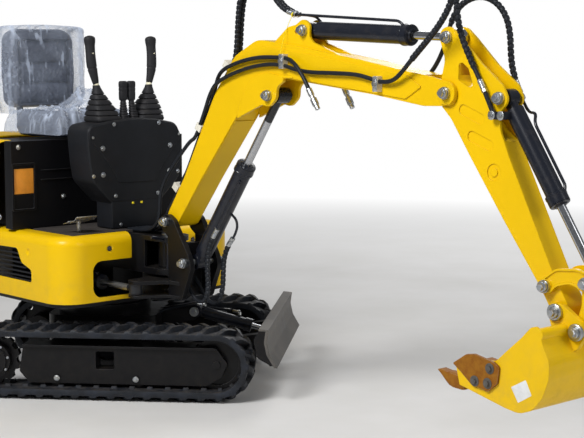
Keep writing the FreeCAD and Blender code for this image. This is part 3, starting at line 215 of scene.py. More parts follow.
def skin(rings, ends="fan"):
    """Closed surface through a stack of rings, an (n, m, 3) array.

    ends is "fan" to close each end at its ring's mean point, "flat" for one face, or "loop" to join the two ends.
    Returns the points and a list of face arrays, facing outwards.
    """
    rings = np.asarray(rings, float)
    n, m = rings.shape[:2]
    faces = [grid(n, m, ends == "loop", True)]
    points = rings.reshape(-1, 3)
    k = np.arange(m)
    top = (n - 1) * m
    if ends == "fan":
        points = np.concatenate([points, rings[:1].mean(1), rings[-1:].mean(1)])
        faces.append(np.concatenate([
            np.stack([np.full(m, n * m), k, (k + 1) % m], 1),
            np.stack([np.full(m, n * m + 1), top + (k + 1) % m, top + k], 1),
        ]))
    if ends == "flat":
        faces.append(np.stack([k, top + k[::-1]]))
    volume = 0.0
    for group in faces:
        for c in range(1, group.shape[1] - 1):
            volume += np.einsum("ij,ij->", points[group[:, 0]],
                                np.cross(points[group[:, c]], points[group[:, c + 1]]))
    return points, [group[:, ::-1] for group in faces] if volume < 0 else faces


def basis(axis):
    """Two unit vectors square to an axis and to each other."""
    a = unit(axis)
    helper = np.array([0.0, 0.0, 1.0]) if abs(a[2]) < 0.9 else np.array([1.0, 0.0, 0.0])
    u = unit(np.cross(helper, a))
    return u, np.cross(a, u)


def angles(count):
    """Angles once round, from zero."""
    return np.arange(count) * 2 * math.pi / count


def lathe(profile, at, axis, sides=24, section=None):
    """Profile (radius, height) turned about an axis: at + height axis + radius (cos t u + sin t v) section(t)."""
    profile = np.asarray(profile, float)
    u, v = basis(axis)
    t = angles(sides)
    scale = np.ones(sides) if section is None else section(t)
    around = np.cos(t)[:, None] * u + np.sin(t)[:, None] * v
    radius = profile[:, 0][:, None] * scale
    return skin(np.asarray(at, float) + profile[:, 1][:, None, None] * unit(axis) + radius[..., None] * around)


def squared(t, power):
    """Radius at angle t of |x|^n + |y|^n = 1, n being power: a circle at 2 and nearly a square at 6."""
    return (np.abs(np.cos(t)) ** power + np.abs(np.sin(t)) ** power) ** (-1 / power)


def stacked(a, b, level, half_a, half_b, power, sides, place):
    """Rounded squares, each at its level, on a line of middles (a, b): point t of one is a + half_a r cos t and
    b + half_b r sin t, with r = squared(t, power)."""
    a, b, level, half_a, half_b, power = (np.reshape(v, (-1, 1)) for v in (a, b, level, half_a, half_b, power))
    t = angles(sides)
    r = squared(t, power)
    a, b = a + half_a * r * np.cos(t), b + half_b * r * np.sin(t)
    return skin(np.stack(place(a, b, np.broadcast_to(level, a.shape)), -1))


def hexagon(t):
    """Distance from the middle to a regular hexagon's side, one across its corners' circle: cos 30 / cos of the
    angle left to the nearest side's middle."""
    return math.cos(math.pi / 6) / np.cos((t % (math.pi / 3)) - math.pi / 6)


# A bolt's head and washer, as shares of its size across flats
HEAD_HIGH = 0.42
WASHER_THICK = 0.11


def bolt(at, axis, across=0.016, washer=1.0):
    """Hexagon bolt head, on a washer of radius across times washer, both standing on the point at."""
    a = unit(axis)
    r = across / 2 / math.cos(math.pi / 6)
    high = across * HEAD_HIGH
    lift = across * WASHER_THICK if washer else 0.0
    parts = []
    if washer:
        wide = across * washer
        parts.append(lathe([(wide * .9, -.001), (wide, 0), (wide, lift * .7), (wide * .94, lift)], at, a))
    foot = np.asarray(at, float) + a * lift
    parts.append(lathe([(r, 0), (r, high * .8), (r * .93, high), (r * .5, high * 1.02)], foot, a, section=hexagon))
    return parts


def bolts(places, axis, across=0.016, washer=1.0):
    """Equal bolts at several places."""
    return [part for at in places for part in bolt(at, axis, across, washer)]


def arc_outline(corners, steps=6, share=0.48):
    """Closed outline (m, 2) through (a, b, radius) corners, each rounded by a tangent arc of steps + 1 points. An
    arc takes no more than share of a side."""
    corners = np.asarray(corners, float)
    p = corners[:, :2]
    to_before = np.roll(p, 1, 0) - p
    to_after = np.roll(p, -1, 0) - p
    run = np.minimum(np.linalg.norm(to_before, axis=1), np.linalg.norm(to_after, axis=1))
    d1, d2 = unit(to_before), unit(to_after)
    half = np.arccos(np.clip((d1 * d2).sum(1), -1, 1)) / 2
    reach = np.minimum(np.maximum(corners[:, 2], 1e-5) / np.tan(half), share * run)[:, None]
    start, end, tip = (p + d1 * reach)[:, None], (p + d2 * reach)[:, None], p[:, None]
    # rational quadratic whose middle weight, the sine of the half angle, makes it a circle
    k = np.linspace(0, 1, steps + 1)[None, :, None]
    w = 2 * np.sin(half)[:, None, None] * k * (1 - k)
    return (((1 - k) ** 2 * start + w * tip + k ** 2 * end) / ((1 - k) ** 2 + w + k ** 2)).reshape(-1, 2)


def rectangle(a0, a1, b0, b1, radius, steps):
    """Outline of a rectangle with rounded corners."""
    return arc_outline([(a0, b0, radius), (a1, b0, radius), (a1, b1, radius), (a0, b1, radius)], steps)


def inset(outline, depth):
    """Outline moved inwards by depth along the mean normal of its two sides at each point."""
    ahead = np.roll(outline, -1, 0) - np.roll(outline, 1, 0)
    normal = unit(np.stack([-ahead[:, 1], ahead[:, 0]], 1))
    area = np.sum(outline[:, 0] * np.roll(outline[:, 1], -1) - np.roll(outline[:, 0], -1) * outline[:, 1])
    return outline + normal * depth * (1 if area > 0 else -1)


def slab(outline, low, high, place, edge=0.002, steps=3):
    """Plate between two levels with rounded edges: the outline is inset by edge (1 - sin a) while the level
    comes in by edge (1 - cos a). place turns (a, b, level) arrays into points."""
    a = np.linspace(0, math.pi / 2, steps + 1)
    depth = edge * (1 - np.sin(a))
    rise = edge * (1 - np.cos(a))
    depths = np.concatenate([depth, depth[::-1]])
    levels = np.concatenate([low + rise, (high - rise)[::-1]])
    rings = [np.stack(place(*inset(outline, d).T, np.full(len(outline), z)), -1) for d, z in zip(depths, levels)]
    return skin(rings, "flat")


ALONG_X = (1.0, 0.0, 0.0)


def in_yz(a, b, level):
    return level, a, b


def reclined(a, b, level):
    """As in_yz, leaning back a little with height."""
    return level - (b - 1.16) * 0.02, a, b


def in_xz(a, b, level):
    return a, level, b


def in_xy(a, b, level):
    return a, b, level


def spline_line(points, resolution=8):
    """Smooth line through a route: the points of a NURBS of order 3 that has the route as its control points."""
    curve = nurbs("route", points, resolution)
    holder = bpy.data.objects.new("route", curve)
    mesh = bpy.data.meshes.new_from_object(holder)
    line = np.zeros(len(mesh.vertices) * 3)
    mesh.vertices.foreach_get("co", line)
    bpy.data.meshes.remove(mesh)
    bpy.data.objects.remove(holder)
    bpy.data.curves.remove(curve)
    return line.reshape(-1, 3)


def nurbs(name, points, resolution):
    """Curve of one NURBS spline with the route as its control points."""
    curve = bpy.data.curves.new(name, "CURVE")
    curve.dimensions = "3D"
    curve.resolution_u = resolution
    spline = curve.splines.new("NURBS")
    spline.points.add(len(points) - 1)
    flat = np.concatenate([np.asarray(points, float), np.ones((len(points), 1))], 1)
    spline.points.foreach_set("co", flat.ravel())
    spline.order_u = 3
    spline.use_endpoint_u = True
    return curve


def evenly(line, step):
    """The line's points again, at even steps along it, by linear interpolation, and how far along each one is."""
    gone = np.concatenate([[0], np.cumsum(np.linalg.norm(np.diff(line, axis=0), axis=1))])
    at = np.linspace(0, gone[-1], max(2, int(round(gone[-1] / step)) + 1))
    return np.stack([np.interp(at, gone, line[:, k]) for k in range(line.shape[1])], 1), at


def along(line, radius, sides=12, across=(0.0, 1.0, 0.0)):
    """Tube on a line: point (s, t) is line(s) + radius(s, t) (cos t side + sin t up), with side square to the
    line's direction and as near to across as can be."""
    across = np.asarray(across, float)
    forward = unit(np.gradient(line, axis=0))
    side = unit(across - forward * (forward @ across)[:, None])
    t = angles(sides)
    around = np.cos(t)[:, None] * side[:, None] + np.sin(t)[:, None] * np.cross(forward, side)[:, None]
    return skin(line[:, None] + np.broadcast_to(radius, (len(line), sides))[..., None] * around)


def tube(line, radius, sides=12, step=0.006, across=(0.0, 1.0, 0.0)):
    """Tube on a line, cut into even steps."""
    return along(evenly(line, step)[0], radius, sides, across)


# Objects


def make(name, parts, finish, body=None, upper=True, sharp=35.0, folds=None):
    """Object from closed surfaces, riding on a body. parts is a list of surfaces and of (surface, finish) pairs.
    The slot is the finish's name where none is given. folds gives each point's attribute of painted light, which a
    finish
    reads: painted shade in the seat's seams and painted highlight on the film's folds."""
    finishes, points, counts, corners, slots = [], [], [], [], []
    total = 0
    for part in parts:
        (p, groups), own = part if isinstance(part[1], str) else (part, finish)
        if own not in finishes:
            finishes.append(own)
        points.append(turned(p) if upper else p)
        for group in groups:
            corners.append((group + total).ravel())
            counts.append(np.full(len(group), group.shape[1]))
            slots.append(np.full(len(group), finishes.index(own)))
        total += len(p)
    points, corners, counts = np.concatenate(points), np.concatenate(corners), np.concatenate(counts)
    mesh = bpy.data.meshes.new(name)
    mesh.vertices.add(len(points))
    mesh.vertices.foreach_set("co", points.ravel())
    mesh.loops.add(len(corners))
    mesh.loops.foreach_set("vertex_index", corners)
    mesh.polygons.add(len(counts))
    mesh.polygons.foreach_set("loop_start", np.concatenate([[0], np.cumsum(counts)[:-1]]))
    for material in finishes:
        mesh.materials.append(bpy.data.materials[material])
    mesh.polygons.foreach_set("material_index", np.concatenate(slots))
    mesh.update(calc_edges=True)
    if mesh.validate():
        raise RuntimeError(name + " has faulty faces")
    if folds is not None:
        # The attribute holds painted light: painted shade in the seat's seams, painted highlight on the film's folds.
        mesh.attributes.new("fold", "FLOAT", "POINT").data.foreach_set("value", np.asarray(folds, "f").ravel())
    mesh.shade_smooth()
    mesh.set_sharp_from_angle(angle=math.radians(sharp))
    piece = bpy.data.objects.new(name, mesh)
    bpy.context.scene.collection.objects.link(piece)
    if body:
        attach(piece, body)
    return piece


# Finishes


def rgba(colour):
    """A colour's socket as it is, or its three values and an alpha of one."""
    return colour if isinstance(colour, bpy.types.NodeSocket) else (*colour, 1.0)


class Nodes:
    """The nodes of a material or of the world, made one at a time."""

    def __init__(self, holder):
        holder.use_nodes = True
        self.nodes, self.links = holder.node_tree.nodes, holder.node_tree.links
        self.nodes.clear()

    def join(self, value, socket):
        if isinstance(value, bpy.types.NodeSocket):
            self.links.new(value, socket)
        else:
            socket.default_value = value

    def add(self, kind, inputs=None, output=0, **settings):
        """Makes a node with its settings and inputs, and returns one of its outputs, or the node for None."""
        node = self.nodes.new(kind)
        for key, value in settings.items():
            setattr(node, key, value)
        for key, value in (inputs or {}).items():
            self.join(value, node.inputs[key])
        return node if output is None else node.outputs[output]

    def camera_ray(self):
        return self.add("ShaderNodeLightPath", output="Is Camera Ray")


class Finish(Nodes):
    """A material, made a step at a time round one Principled shader."""

    def __init__(self, name, **fixed):
        super().__init__(bpy.data.materials.get(name) or bpy.data.materials.new(name))
        self.shader = self.add("ShaderNodeBsdfPrincipled",
                               {socket.replace("_", " "): value for socket, value in fixed.items()}, None)
        self.out = self.add("ShaderNodeOutputMaterial", {0: self.shader.outputs[0]}, None)
        self.place = self.add("ShaderNodeTexCoord", output="Object")
        self.normal = None

    def stretched(self, *scale):
        """Coordinates stretched by a factor on each axis."""
        return self.add("ShaderNodeMapping", {"Vector": self.place, "Scale": scale})

    def noise(self, scale, detail, rough=0.55, place=None):
        return self.add("ShaderNodeTexNoise", {"Vector": place or self.place, "Scale": scale, "Detail": detail,
                                               "Roughness": rough})

    def range(self, value, low, high, to_low=0.0, to_high=1.0):
        return self.add("ShaderNodeMapRange", {"Value": value, "From Min": low, "From Max": high, "To Min": to_low,
                                               "To Max": to_high})

    def patches(self, scale, detail, low, high, to_low=0.0, to_high=1.0, rough=0.55):
        """Noise between two levels, spread over a range."""
        return self.range(self.noise(scale, detail, rough), low, high, to_low, to_high)

    def times(self, a, b):
        return self.add("ShaderNodeMath", {0: a, 1: b}, operation="MULTIPLY")

    def plus(self, a, b):
        return self.add("ShaderNodeMath", {0: a, 1: b}, operation="ADD")

    def mix(self, factor, a, b):
        return self.add("ShaderNodeMix", {0: factor, 6: rgba(a), 7: rgba(b)}, 2, data_type="RGBA")

    def height(self):
        """Height over the ground."""
        return self.add("ShaderNodeSeparateXYZ", {0: self.place}, 2)

    def facing(self):
        return self.add("ShaderNodeNewGeometry", output="Normal")

    def upward(self, low, high):
        """How far a face looks up, between two levels."""
        return self.range(self.add("ShaderNodeSeparateXYZ", {0: self.facing()}, 2), low, high)

    def fold(self):
        """The piece's attribute of painted light: painted shade in the seat's seams, painted highlight on the film's
        folds.
        """
        return self.add("ShaderNodeAttribute", output="Fac", attribute_name="fold")

    def rounded(self, radius):
        """The normal with edges rounded by a radius."""
        return self.add("ShaderNodeBevel", {"Radius": radius}, samples=4)

    def soften(self, radius):
        self.normal = self.rounded(radius)

    def edges(self, radius):
        """One on edges, by how far the rounded normal turns from the face's."""
        dot = self.add("ShaderNodeVectorMath", {0: self.rounded(radius), 1: self.facing()}, "Value",
                       operation="DOT_PRODUCT")
        return self.range(dot, 0.99, 0.80)

    def bump(self, height, distance, strength):
        under = {} if self.normal is None else {"Normal": self.normal}
        self.normal = self.add("ShaderNodeBump", {"Height": height, "Distance": distance, "Strength": strength,
                                                  **under})

    def done(self, colour, roughness=None):
        for key, value in (("Base Color", rgba(colour)), ("Roughness", roughness), ("Normal", self.normal)):
            if value is not None:
                self.join(value, self.shader.inputs[key])

    def dusted(self, film, base, dust, full, clean, dull):
        """Ends a material: dust over its base by film, the roughness going from clean to dull as film nears full."""
        self.done(self.mix(film, base, dust), self.range(film, 0.0, full, clean, dull))


def shade(colour, factor):
    return tuple(min(1.0, c * factor) for c in colour)


def yellow_paint(paint):
    f = Finish("yellow_paint", Specular_IOR_Level=0.18, Coat_Weight=0.09, Coat_Roughness=0.08)
    f.soften(0.0030)
    f.bump(f.noise(260, 2), 0.00025, 0.35)
    base = f.mix(f.patches(3.5, 4, 0.35, 0.7), paint.yellow, shade(paint.yellow, 0.93))
    spread = f.plus(f.times(f.range(f.height(), 0.62, 0.30), 0.22), f.times(f.upward(0.55, 1.0), 0.10))
    film = f.times(f.patches(22, 6, 0.45, 0.75, rough=0.7), spread)
    f.dusted(film, base, paint.dust, 0.2, 0.34, 0.62)


def black_paint(paint, name="black_paint", dust=0.09, gloss=0.34):
    f = Finish(name, Specular_IOR_Level=0.20, Coat_Weight=0.05, Coat_Roughness=0.12)
    f.soften(0.0022)
    f.bump(f.noise(320, 2), 0.0002, 0.35)
    spread = f.plus(f.times(f.upward(0.35, 0.95), dust), f.times(f.range(f.height(), 0.40, 0.0), dust * 0.45))
    film = f.times(f.patches(26, 6, 0.36, 0.74, rough=0.72), spread)
    # Edges turn a lighter bluish grey: a painted edge highlight.
    f.dusted(film, f.mix(f.edges(0.0016), paint.black, (0.075, 0.077, 0.082)), paint.dust, 0.3, gloss, 0.75)


def track_rubber(paint):
    f = Finish("track_rubber", Specular_IOR_Level=0.25)
    f.bump(f.noise(420, 3), 0.0004, 0.5)
    f.bump(f.noise(60, 3), 0.0008, 0.4)
    film = f.times(f.patches(34, 6, 0.40, 0.72, rough=0.75), f.plus(0.03, f.times(f.upward(0.2, 1.0), 0.24)))
    streak = f.range(f.noise(14, 4, 0.6, f.stretched(1.0, 6.0, 1.0)), 0.40, 0.72)
    f.dusted(film, f.mix(streak, paint.rubber, (0.022, 0.027, 0.038)), paint.dust, 0.4, 0.50, 0.85)


def moulded(paint, name, colour, grain=1100.0, rough=0.52, dust=0.10):
    """Moulded plastic or rubber with a fine grain and a little dust on its level faces."""
    f = Finish(name, Specular_IOR_Level=0.24)
    f.soften(0.0018)
    f.bump(f.noise(grain, 2), 0.0002, 0.6)
    film = f.times(f.patches(30, 5, 0.40, 0.75, rough=0.7), f.times(f.upward(0.3, 1.0), dust))
    base = f.mix(f.patches(9, 3, 0.35, 0.7), colour, shade(colour, 1.35))
    f.dusted(film, base, paint.dust, 0.2, rough, 0.8)


def floor_rubber():
    f = Finish("floor_rubber")
    f.bump(f.noise(520, 2), 0.0005, 0.6)
    ribs = f.add("ShaderNodeTexWave", {"Vector": f.place, "Scale": 24.0, "Distortion": 0.3}, "Color",
                 wave_type="BANDS", bands_direction="X")
    f.bump(ribs, 0.0012, 0.5)
    film = f.patches(19, 6, 0.36, 0.72, 0.12, 0.55, 0.75)
    f.done(f.mix(film, (0.022, 0.020, 0.019), (0.110, 0.088, 0.074)), 0.72)


def bare_metal(name, colour, roughness, spread=0.16, tone=None):
    """Plated or polished metal, its gloss broken up by fine patches."""
    f = Finish(name, Metallic=1.0)
    f.soften(0.0008)
    patch = f.noise(150, 4, 0.65)
    f.bump(patch, 0.0001, 0.4)
    f.done(f.mix(f.patches(60, 4, 0.35, 0.7), colour, tone or shade(colour, 0.72)),
           f.range(patch, 0.3, 0.7, roughness, roughness + spread))


def painted_end(name, eye, reach, colour=(0.46, 0.47, 0.49), roughness=0.20):
    """Bright rod whose end is black within reach of its eye."""
    f = Finish(name)
    f.soften(0.0008)
    away = f.add("ShaderNodeVectorMath", {0: f.place, 1: turned(eye)}, "Value", operation="DISTANCE")
    bright = f.range(away, reach - 0.0005, reach + 0.0005)
    f.join(bright, f.shader.inputs["Metallic"])
    patch = f.noise(120, 4, 0.65)
    f.bump(patch, 0.0001, 0.4)
    f.done(f.mix(bright, (0.010, 0.011, 0.014), colour), f.range(patch, 0.3, 0.7, roughness, roughness + 0.12))


def cylinder_black(paint):
    f = Finish("cylinder_black", Specular_IOR_Level=0.28, Coat_Weight=0.22, Coat_Roughness=0.08)
    f.soften(0.0015)
    f.bump(f.noise(240, 2), 0.0002, 0.3)
    f.done(f.mix(f.patches(30, 6, 0.5, 0.8, 0.0, 0.10, 0.7), (0.009, 0.011, 0.018), paint.dust), 0.28)


def tooth_primer(paint):
    f = Finish("tooth_orange", Specular_IOR_Level=0.15)
    f.soften(0.0020)
    rust = f.noise(46, 7, 0.72)
    f.bump(rust, 0.0012, 0.5)
    base = f.mix(f.range(rust, 0.38, 0.66), paint.tooth, (0.32, 0.135, 0.012))
    f.done(f.mix(f.times(f.edges(0.003), f.patches(90, 4, 0.35, 0.6)), base, (0.40, 0.33, 0.26)), 0.62)


def worn_steel():
    f = Finish("worn_steel", Metallic=0.25, Specular_IOR_Level=0.30)
    f.soften(0.0020)
    streak = f.noise(18, 6, 0.7, f.stretched(1.0, 1.0, 0.16))
    f.bump(f.noise(160, 4), 0.0003, 0.5)
    base = f.mix(f.range(streak, 0.36, 0.66), (0.085, 0.080, 0.074), (0.165, 0.152, 0.138))
    f.done(f.mix(f.patches(7, 5, 0.55, 0.75, 0.0, 0.7, 0.7), base, (0.040, 0.038, 0.036)),
           f.range(streak, 0.3, 0.7, 0.42, 0.68))


def seat_film(paint):
    """Clear film: hazy all over, and whiter on the folds that its attribute gives, a painted highlight."""
    f = Finish("seat_film", Roughness=0.12, IOR=1.45)
    fine = f.noise(70, 4, 0.6)
    f.bump(fine, 0.004, 0.6)
    f.done(paint.film)
    # Painted highlight: the film grows whiter and more opaque along its folds.
    streak = f.range(f.plus(f.fold(), f.range(fine, 0.35, 0.65, -0.05, 0.05)), 0.10, 0.80, 0.0, 0.70)
    f.join(f.plus(f.patches(7, 3, 0.35, 0.65, 0.12, 0.24), streak), f.shader.inputs["Alpha"])


def seat_vinyl():
    """Grained vinyl with painted shade, and some dirt, in its seams: darker where the piece's attribute is high."""
    f = Finish("seat_vinyl", Specular_IOR_Level=0.4)
    f.bump(f.noise(620, 2), 0.0003, 0.5)
    f.bump(f.noise(90, 4), 0.0012, 0.5)
    base = f.mix(f.patches(14, 4, 0.35, 0.7), (0.040, 0.046, 0.068), (0.072, 0.082, 0.112))
    # Painted shade, with some dirt: the seams go nearly black.
    f.done(f.mix(f.fold(), base, (0.008, 0.009, 0.013)), f.patches(60, 4, 0.35, 0.65, 0.34, 0.52))


def plain_plate(name, colour):
    """Blank sticker or printed plate, slightly rippled."""
    f = Finish(name)
    f.bump(f.noise(90, 2), 0.0003, 0.5)
    f.done(f.mix(f.patches(40, 4, 0.45, 0.75), colour, shade(colour, 0.86)), 0.4)


def make_finishes(paint):
    yellow_paint(paint)
    black_paint(paint)
    black_paint(paint, "deck_black", dust=0.12, gloss=0.36)
    track_rubber(paint)
    moulded(paint, "black_plastic", paint.plastic)
    moulded(paint, "black_rubber", (0.016, 0.016, 0.018), grain=800, rough=0.60, dust=0.16)
    moulded(paint, "hose_rubber", paint.rubber, grain=1500, rough=0.42, dust=0.06)
    moulded(paint, "clamp_plastic", (0.66, 0.63, 0.54), grain=500, rough=0.55, dust=0.2)
    moulded(paint, "tie_yellow", (0.80, 0.62, 0.02), grain=500, rough=0.4, dust=0.0)
    moulded(paint, "collar_cream", (0.72, 0.68, 0.50), grain=500, rough=0.5, dust=0.0)
    moulded(paint, "engine_iron", (0.05, 0.05, 0.052), grain=200, rough=0.6, dust=0.2)
    seat_vinyl()
    seat_film(paint)
    floor_rubber()
    bare_metal("chrome_rod", (0.52, 0.53, 0.55), 0.12, 0.06)
    bare_metal("zinc_steel", (0.42, 0.45, 0.50), 0.26, 0.20, (0.50, 0.50, 0.46))
    bare_metal("bright_steel", (0.72, 0.74, 0.76), 0.22, 0.18)
    painted_end("boom_rod_metal", in_plane(BOOM_CYL_EYE), 0.118)
    painted_end("swing_rod_metal", SWING_EYE, 0.050, (0.66, 0.66, 0.65), 0.36)
    cylinder_black(paint)
    tooth_primer(paint)
    worn_steel()
    plain_plate("label_orange", paint.label)
    plain_plate("sticker_white", (0.78, 0.79, 0.80))


# Which finish each CAD node takes, by its own name first and then by its slot in the record
NODE_FINISH = {
    "upper_frame": "deck_black",
    "seat_box": "deck_black",
    "swing_bracket": "deck_black",
    "floor_mat": "floor_rubber",
    "pedal": "bright_steel",
    "boom_rod": "boom_rod_metal",
    "swing_rod": "swing_rod_metal",
}
SLOT_FINISH = {"seat_cover": "seat_vinyl"}


class EXCAVATOR_OT_finishes(bpy.types.Operator):
    """Makes the finishes and gives every CAD node its own"""

    bl_idname = "excavator.finishes"
    bl_label = "Finishes"

    def execute(self, context):
        make_finishes(context.scene.excavator_paint)
        for part in frame["record"]["subparts"]:
            node, slot = part["node"], part["material_slot"]
            finish = NODE_FINISH.get(node) or SLOT_FINISH.get(slot, slot)
            mesh = frame["nodes"][node].data
            mesh.materials.clear()
            mesh.materials.append(bpy.data.materials[finish])
        return {"FINISHED"}


class EXCAVATOR_OT_camera(bpy.types.Operator):
    """Places the camera where the photograph was taken from"""

    bl_idname = "excavator.camera"
    bl_label = "Camera"

    def execute(self, context):
        stage = context.scene.excavator_stage
        data = bpy.data.cameras.new("camera")
        data.lens = stage.lens
        data.sensor_width = 36.0
        data.clip_start, data.clip_end = 0.05, 200.0
        camera = bpy.data.objects.new("camera", data)
        camera.location = stage.place
        camera.rotation_euler = (math.pi / 2 - stage.pitch, 0.0, stage.yaw)
        context.scene.collection.objects.link(camera)
        context.scene.camera = camera
        return {"FINISHED"}


class EXCAVATOR_OT_free_hoses(bpy.types.Operator):
    """Makes the two free hoses that hang from the boom"""

    bl_idname = "excavator.free_hoses"
    bl_label = "Free hoses"

    def execute(self, context):
        radius = context.scene.excavator_sizes.hose_radius
        for side, name in ((1, "right"), (-1, "left")):
            route = turned([(x, side * y, z) for x, y, z in FREE_HOSE])
            curve = nurbs("free_hose_" + name, route, 10)
            curve.bevel_depth = radius
            curve.bevel_resolution = 4
            curve.use_fill_caps = True
            curve.materials.append(bpy.data.materials["hose_rubber"])
            hose = bpy.data.objects.new(curve.name, curve)
            context.scene.collection.objects.link(hose)
            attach(hose, "boom")
            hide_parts("aux_hose_" + name)
        return {"FINISHED"}


WHITE = (1.0, 1.0, 1.0)
SKY_TINT = (0.93, 0.96, 1.0)
FLOOR_HALF = 30.0
# Distances from the middle between which the floor fades to white, as the camera sees it
FLOOR_FADE = (3.2, 8.0)
# Each lamp's place, size and share of the key power
LAMPS = (
    ("key_lamp", (-1.6, -4.2, 4.6), 2.2, 1.0),
    ("fill_lamp", (5.2, -3.4, 3.0), 3.0, 0.24),
    ("back_lamp", (2.2, 4.8, 4.0), 3.0, 0.40),
)
LAMP_TARGET = (0.9, -0.2, 0.6)


class EXCAVATOR_OT_stage(bpy.types.Operator):
    """Makes the pale floor, the lamps and the surrounding light"""

    bl_idname = "excavator.stage"
    bl_label = "Stage"

    def execute(self, context):
        stage = context.scene.excavator_stage
        scene = context.scene
        scene.view_settings.view_transform = "Standard"
        scene.world = scene.world or bpy.data.worlds.new("world")
        world = Nodes(scene.world)
        sky = world.add("ShaderNodeBackground", {0: rgba(SKY_TINT), 1: stage.sky})
        seen = world.add("ShaderNodeBackground", {0: rgba(WHITE)})
        mixed = world.add("ShaderNodeMixShader", {0: world.camera_ray(), 1: sky, 2: seen})
        world.add("ShaderNodeOutputWorld", {0: mixed}, None)

        mesh = bpy.data.meshes.new("floor")
        w = FLOOR_HALF
        mesh.from_pydata([(-w, -w, 0), (w, -w, 0), (w, w, 0), (-w, w, 0)], [], [(0, 1, 2, 3)])
        floor = bpy.data.objects.new("floor", mesh)
        scene.collection.objects.link(floor)
        f = Finish("floor", Roughness=0.9)
        f.done(f.mix(f.patches(2.0, 4, 0.3, 0.7), (0.70, 0.69, 0.67), (0.76, 0.75, 0.74)))
        reach = f.add("ShaderNodeVectorMath", {0: f.place}, "Value", operation="LENGTH")
        fade = f.times(f.range(reach, *FLOOR_FADE), f.camera_ray())
        glow = f.add("ShaderNodeEmission", {0: rgba(WHITE)})
        f.join(f.add("ShaderNodeMixShader", {0: fade, 1: f.shader.outputs[0], 2: glow}), f.out.inputs[0])
        mesh.materials.append(bpy.data.materials["floor"])

        for name, place, size, share in LAMPS:
            light = bpy.data.lights.new(name, "AREA")
            light.shape = "DISK"
            light.size = size
            light.energy = stage.key * share
            lamp = bpy.data.objects.new(name, light)
            lamp.location = place
            aim = unit(np.array(LAMP_TARGET) - np.array(place))
            lamp.rotation_euler = (math.acos(-aim[2]), 0.0, math.atan2(aim[1], aim[0]) - math.pi / 2)
            scene.collection.objects.link(lamp)
        return {"FINISHED"}


# Tracks

# Bars: reach in from the belt's edge, lean along the loop, height at the edge, half-lengths at foot and crown
LUG_REACH = 0.101
LUG_LEAN = 0.060
LUG_EDGE = 0.007
LUG_FOOT = 0.016
LUG_CROWN = 0.010
# Guide teeth: distances from the belt's middle, height, and half-length at the foot
GUIDE_NEAR, GUIDE_FAR, GUIDE_HIGH, GUIDE_FOOT = 0.030, 0.044, 0.009, 0.013


def loop_points(s, radius):
    """Points (x, z) of the track's loop, s along it from under the sprocket and radius from a wheel's axis."""
    run = IDLER_X - SPROCKET_X
    turn = math.pi * TRACK_RADIUS
    s = s % (2 * run + 2 * turn)
    front = np.clip((s - run) / TRACK_RADIUS, 0, math.pi) - math.pi / 2
    rear = np.clip((s - 2 * run - turn) / TRACK_RADIUS, 0, math.pi) + math.pi / 2
    angle = np.where(s < run + turn, front, rear)
    middle = np.where(s < run + turn, SPROCKET_X + np.minimum(s, run), IDLER_X - np.clip(s - run - turn, 0, run))
    return middle + radius * np.cos(angle), TRACK_RADIUS + radius * np.sin(angle)


def track_surface(side, high, bars):
    """Rubber track: radius(s, y) is the belt's, plus for each half the bar's height times a ramp of the distance
    from the bar's middle line, which leans along the loop by LUG_LEAN from the belt's middle to its edge."""
    pitch = (2 * (IDLER_X - SPROCKET_X) + 2 * math.pi * TRACK_RADIUS) / bars
    half = np.array([LUG_CROWN / 2, LUG_CROWN, (LUG_FOOT + LUG_CROWN) / 2, LUG_FOOT])
    one = np.concatenate([-half[::-1], [0], half])
    u = (np.arange(bars)[:, None] * pitch + np.concatenate([one, one + pitch / 2])[None]).ravel()
    over = np.concatenate([[0.0, 0.0, 0.0012, 0.004], np.arange(0.009, 0.0875, 0.006), [0.0877]])
    over = np.concatenate([over, TRACK_WIDTH - over[::-1]])
    level = np.full(len(over), BELT_OUTER)
    level[[0, -1]], level[[1, -2]], level[[2, -3]] = BELT_OUTER - 0.013, BELT_OUTER - 0.004, BELT_OUTER - 0.0008
    under = np.array([0.003, 0.020, 0.044, 0.047, 0.059, 0.062, 0.088])
    under = np.concatenate([TRACK_WIDTH - under, under[::-1]])
    y = np.concatenate([over, under])[None]
    inner = np.arange(y.size) >= len(over)
    share = np.minimum(y, TRACK_WIDTH - y) / LUG_REACH
    s = u[:, None] + np.where(inner, LUG_LEAN, LUG_LEAN * (1 - share))
    rise = np.zeros_like(s)
    for from_edge, shift in ((y, 0.0), (TRACK_WIDTH - y, pitch / 2)):
        part = from_edge / LUG_REACH
        off = (s - shift - LUG_LEAN * (1 - part) + pitch / 2) % pitch - pitch / 2
        top = LUG_EDGE + (high - LUG_EDGE) * smooth(part / 0.42)
        ramp = np.clip((LUG_FOOT - np.abs(off)) / (LUG_FOOT - LUG_CROWN), 0, 1)
        rise = np.maximum(rise, top * ramp * np.clip((1.02 - part) / 0.045, 0, 1) * np.clip(from_edge / 0.004, 0, 1))
    middle = np.abs(y - TRACK_WIDTH / 2)
    off = (s - LUG_LEAN + pitch / 4) % pitch - pitch / 4
    tooth = GUIDE_HIGH * (middle > GUIDE_NEAR) * (middle < GUIDE_FAR) * np.clip(
        (GUIDE_FOOT - np.abs(off)) / 0.003, 0, 1)
    base = np.concatenate([level, np.full(under.size, BELT_INNER)])[None]
    x, z = loop_points(s, np.where(inner, base - tooth, base + rise))
    across = np.broadcast_to(side * (TRACK_Y + TRACK_WIDTH / 2 - y), x.shape)
    return skin(np.stack([x, across, z], -1), "loop")


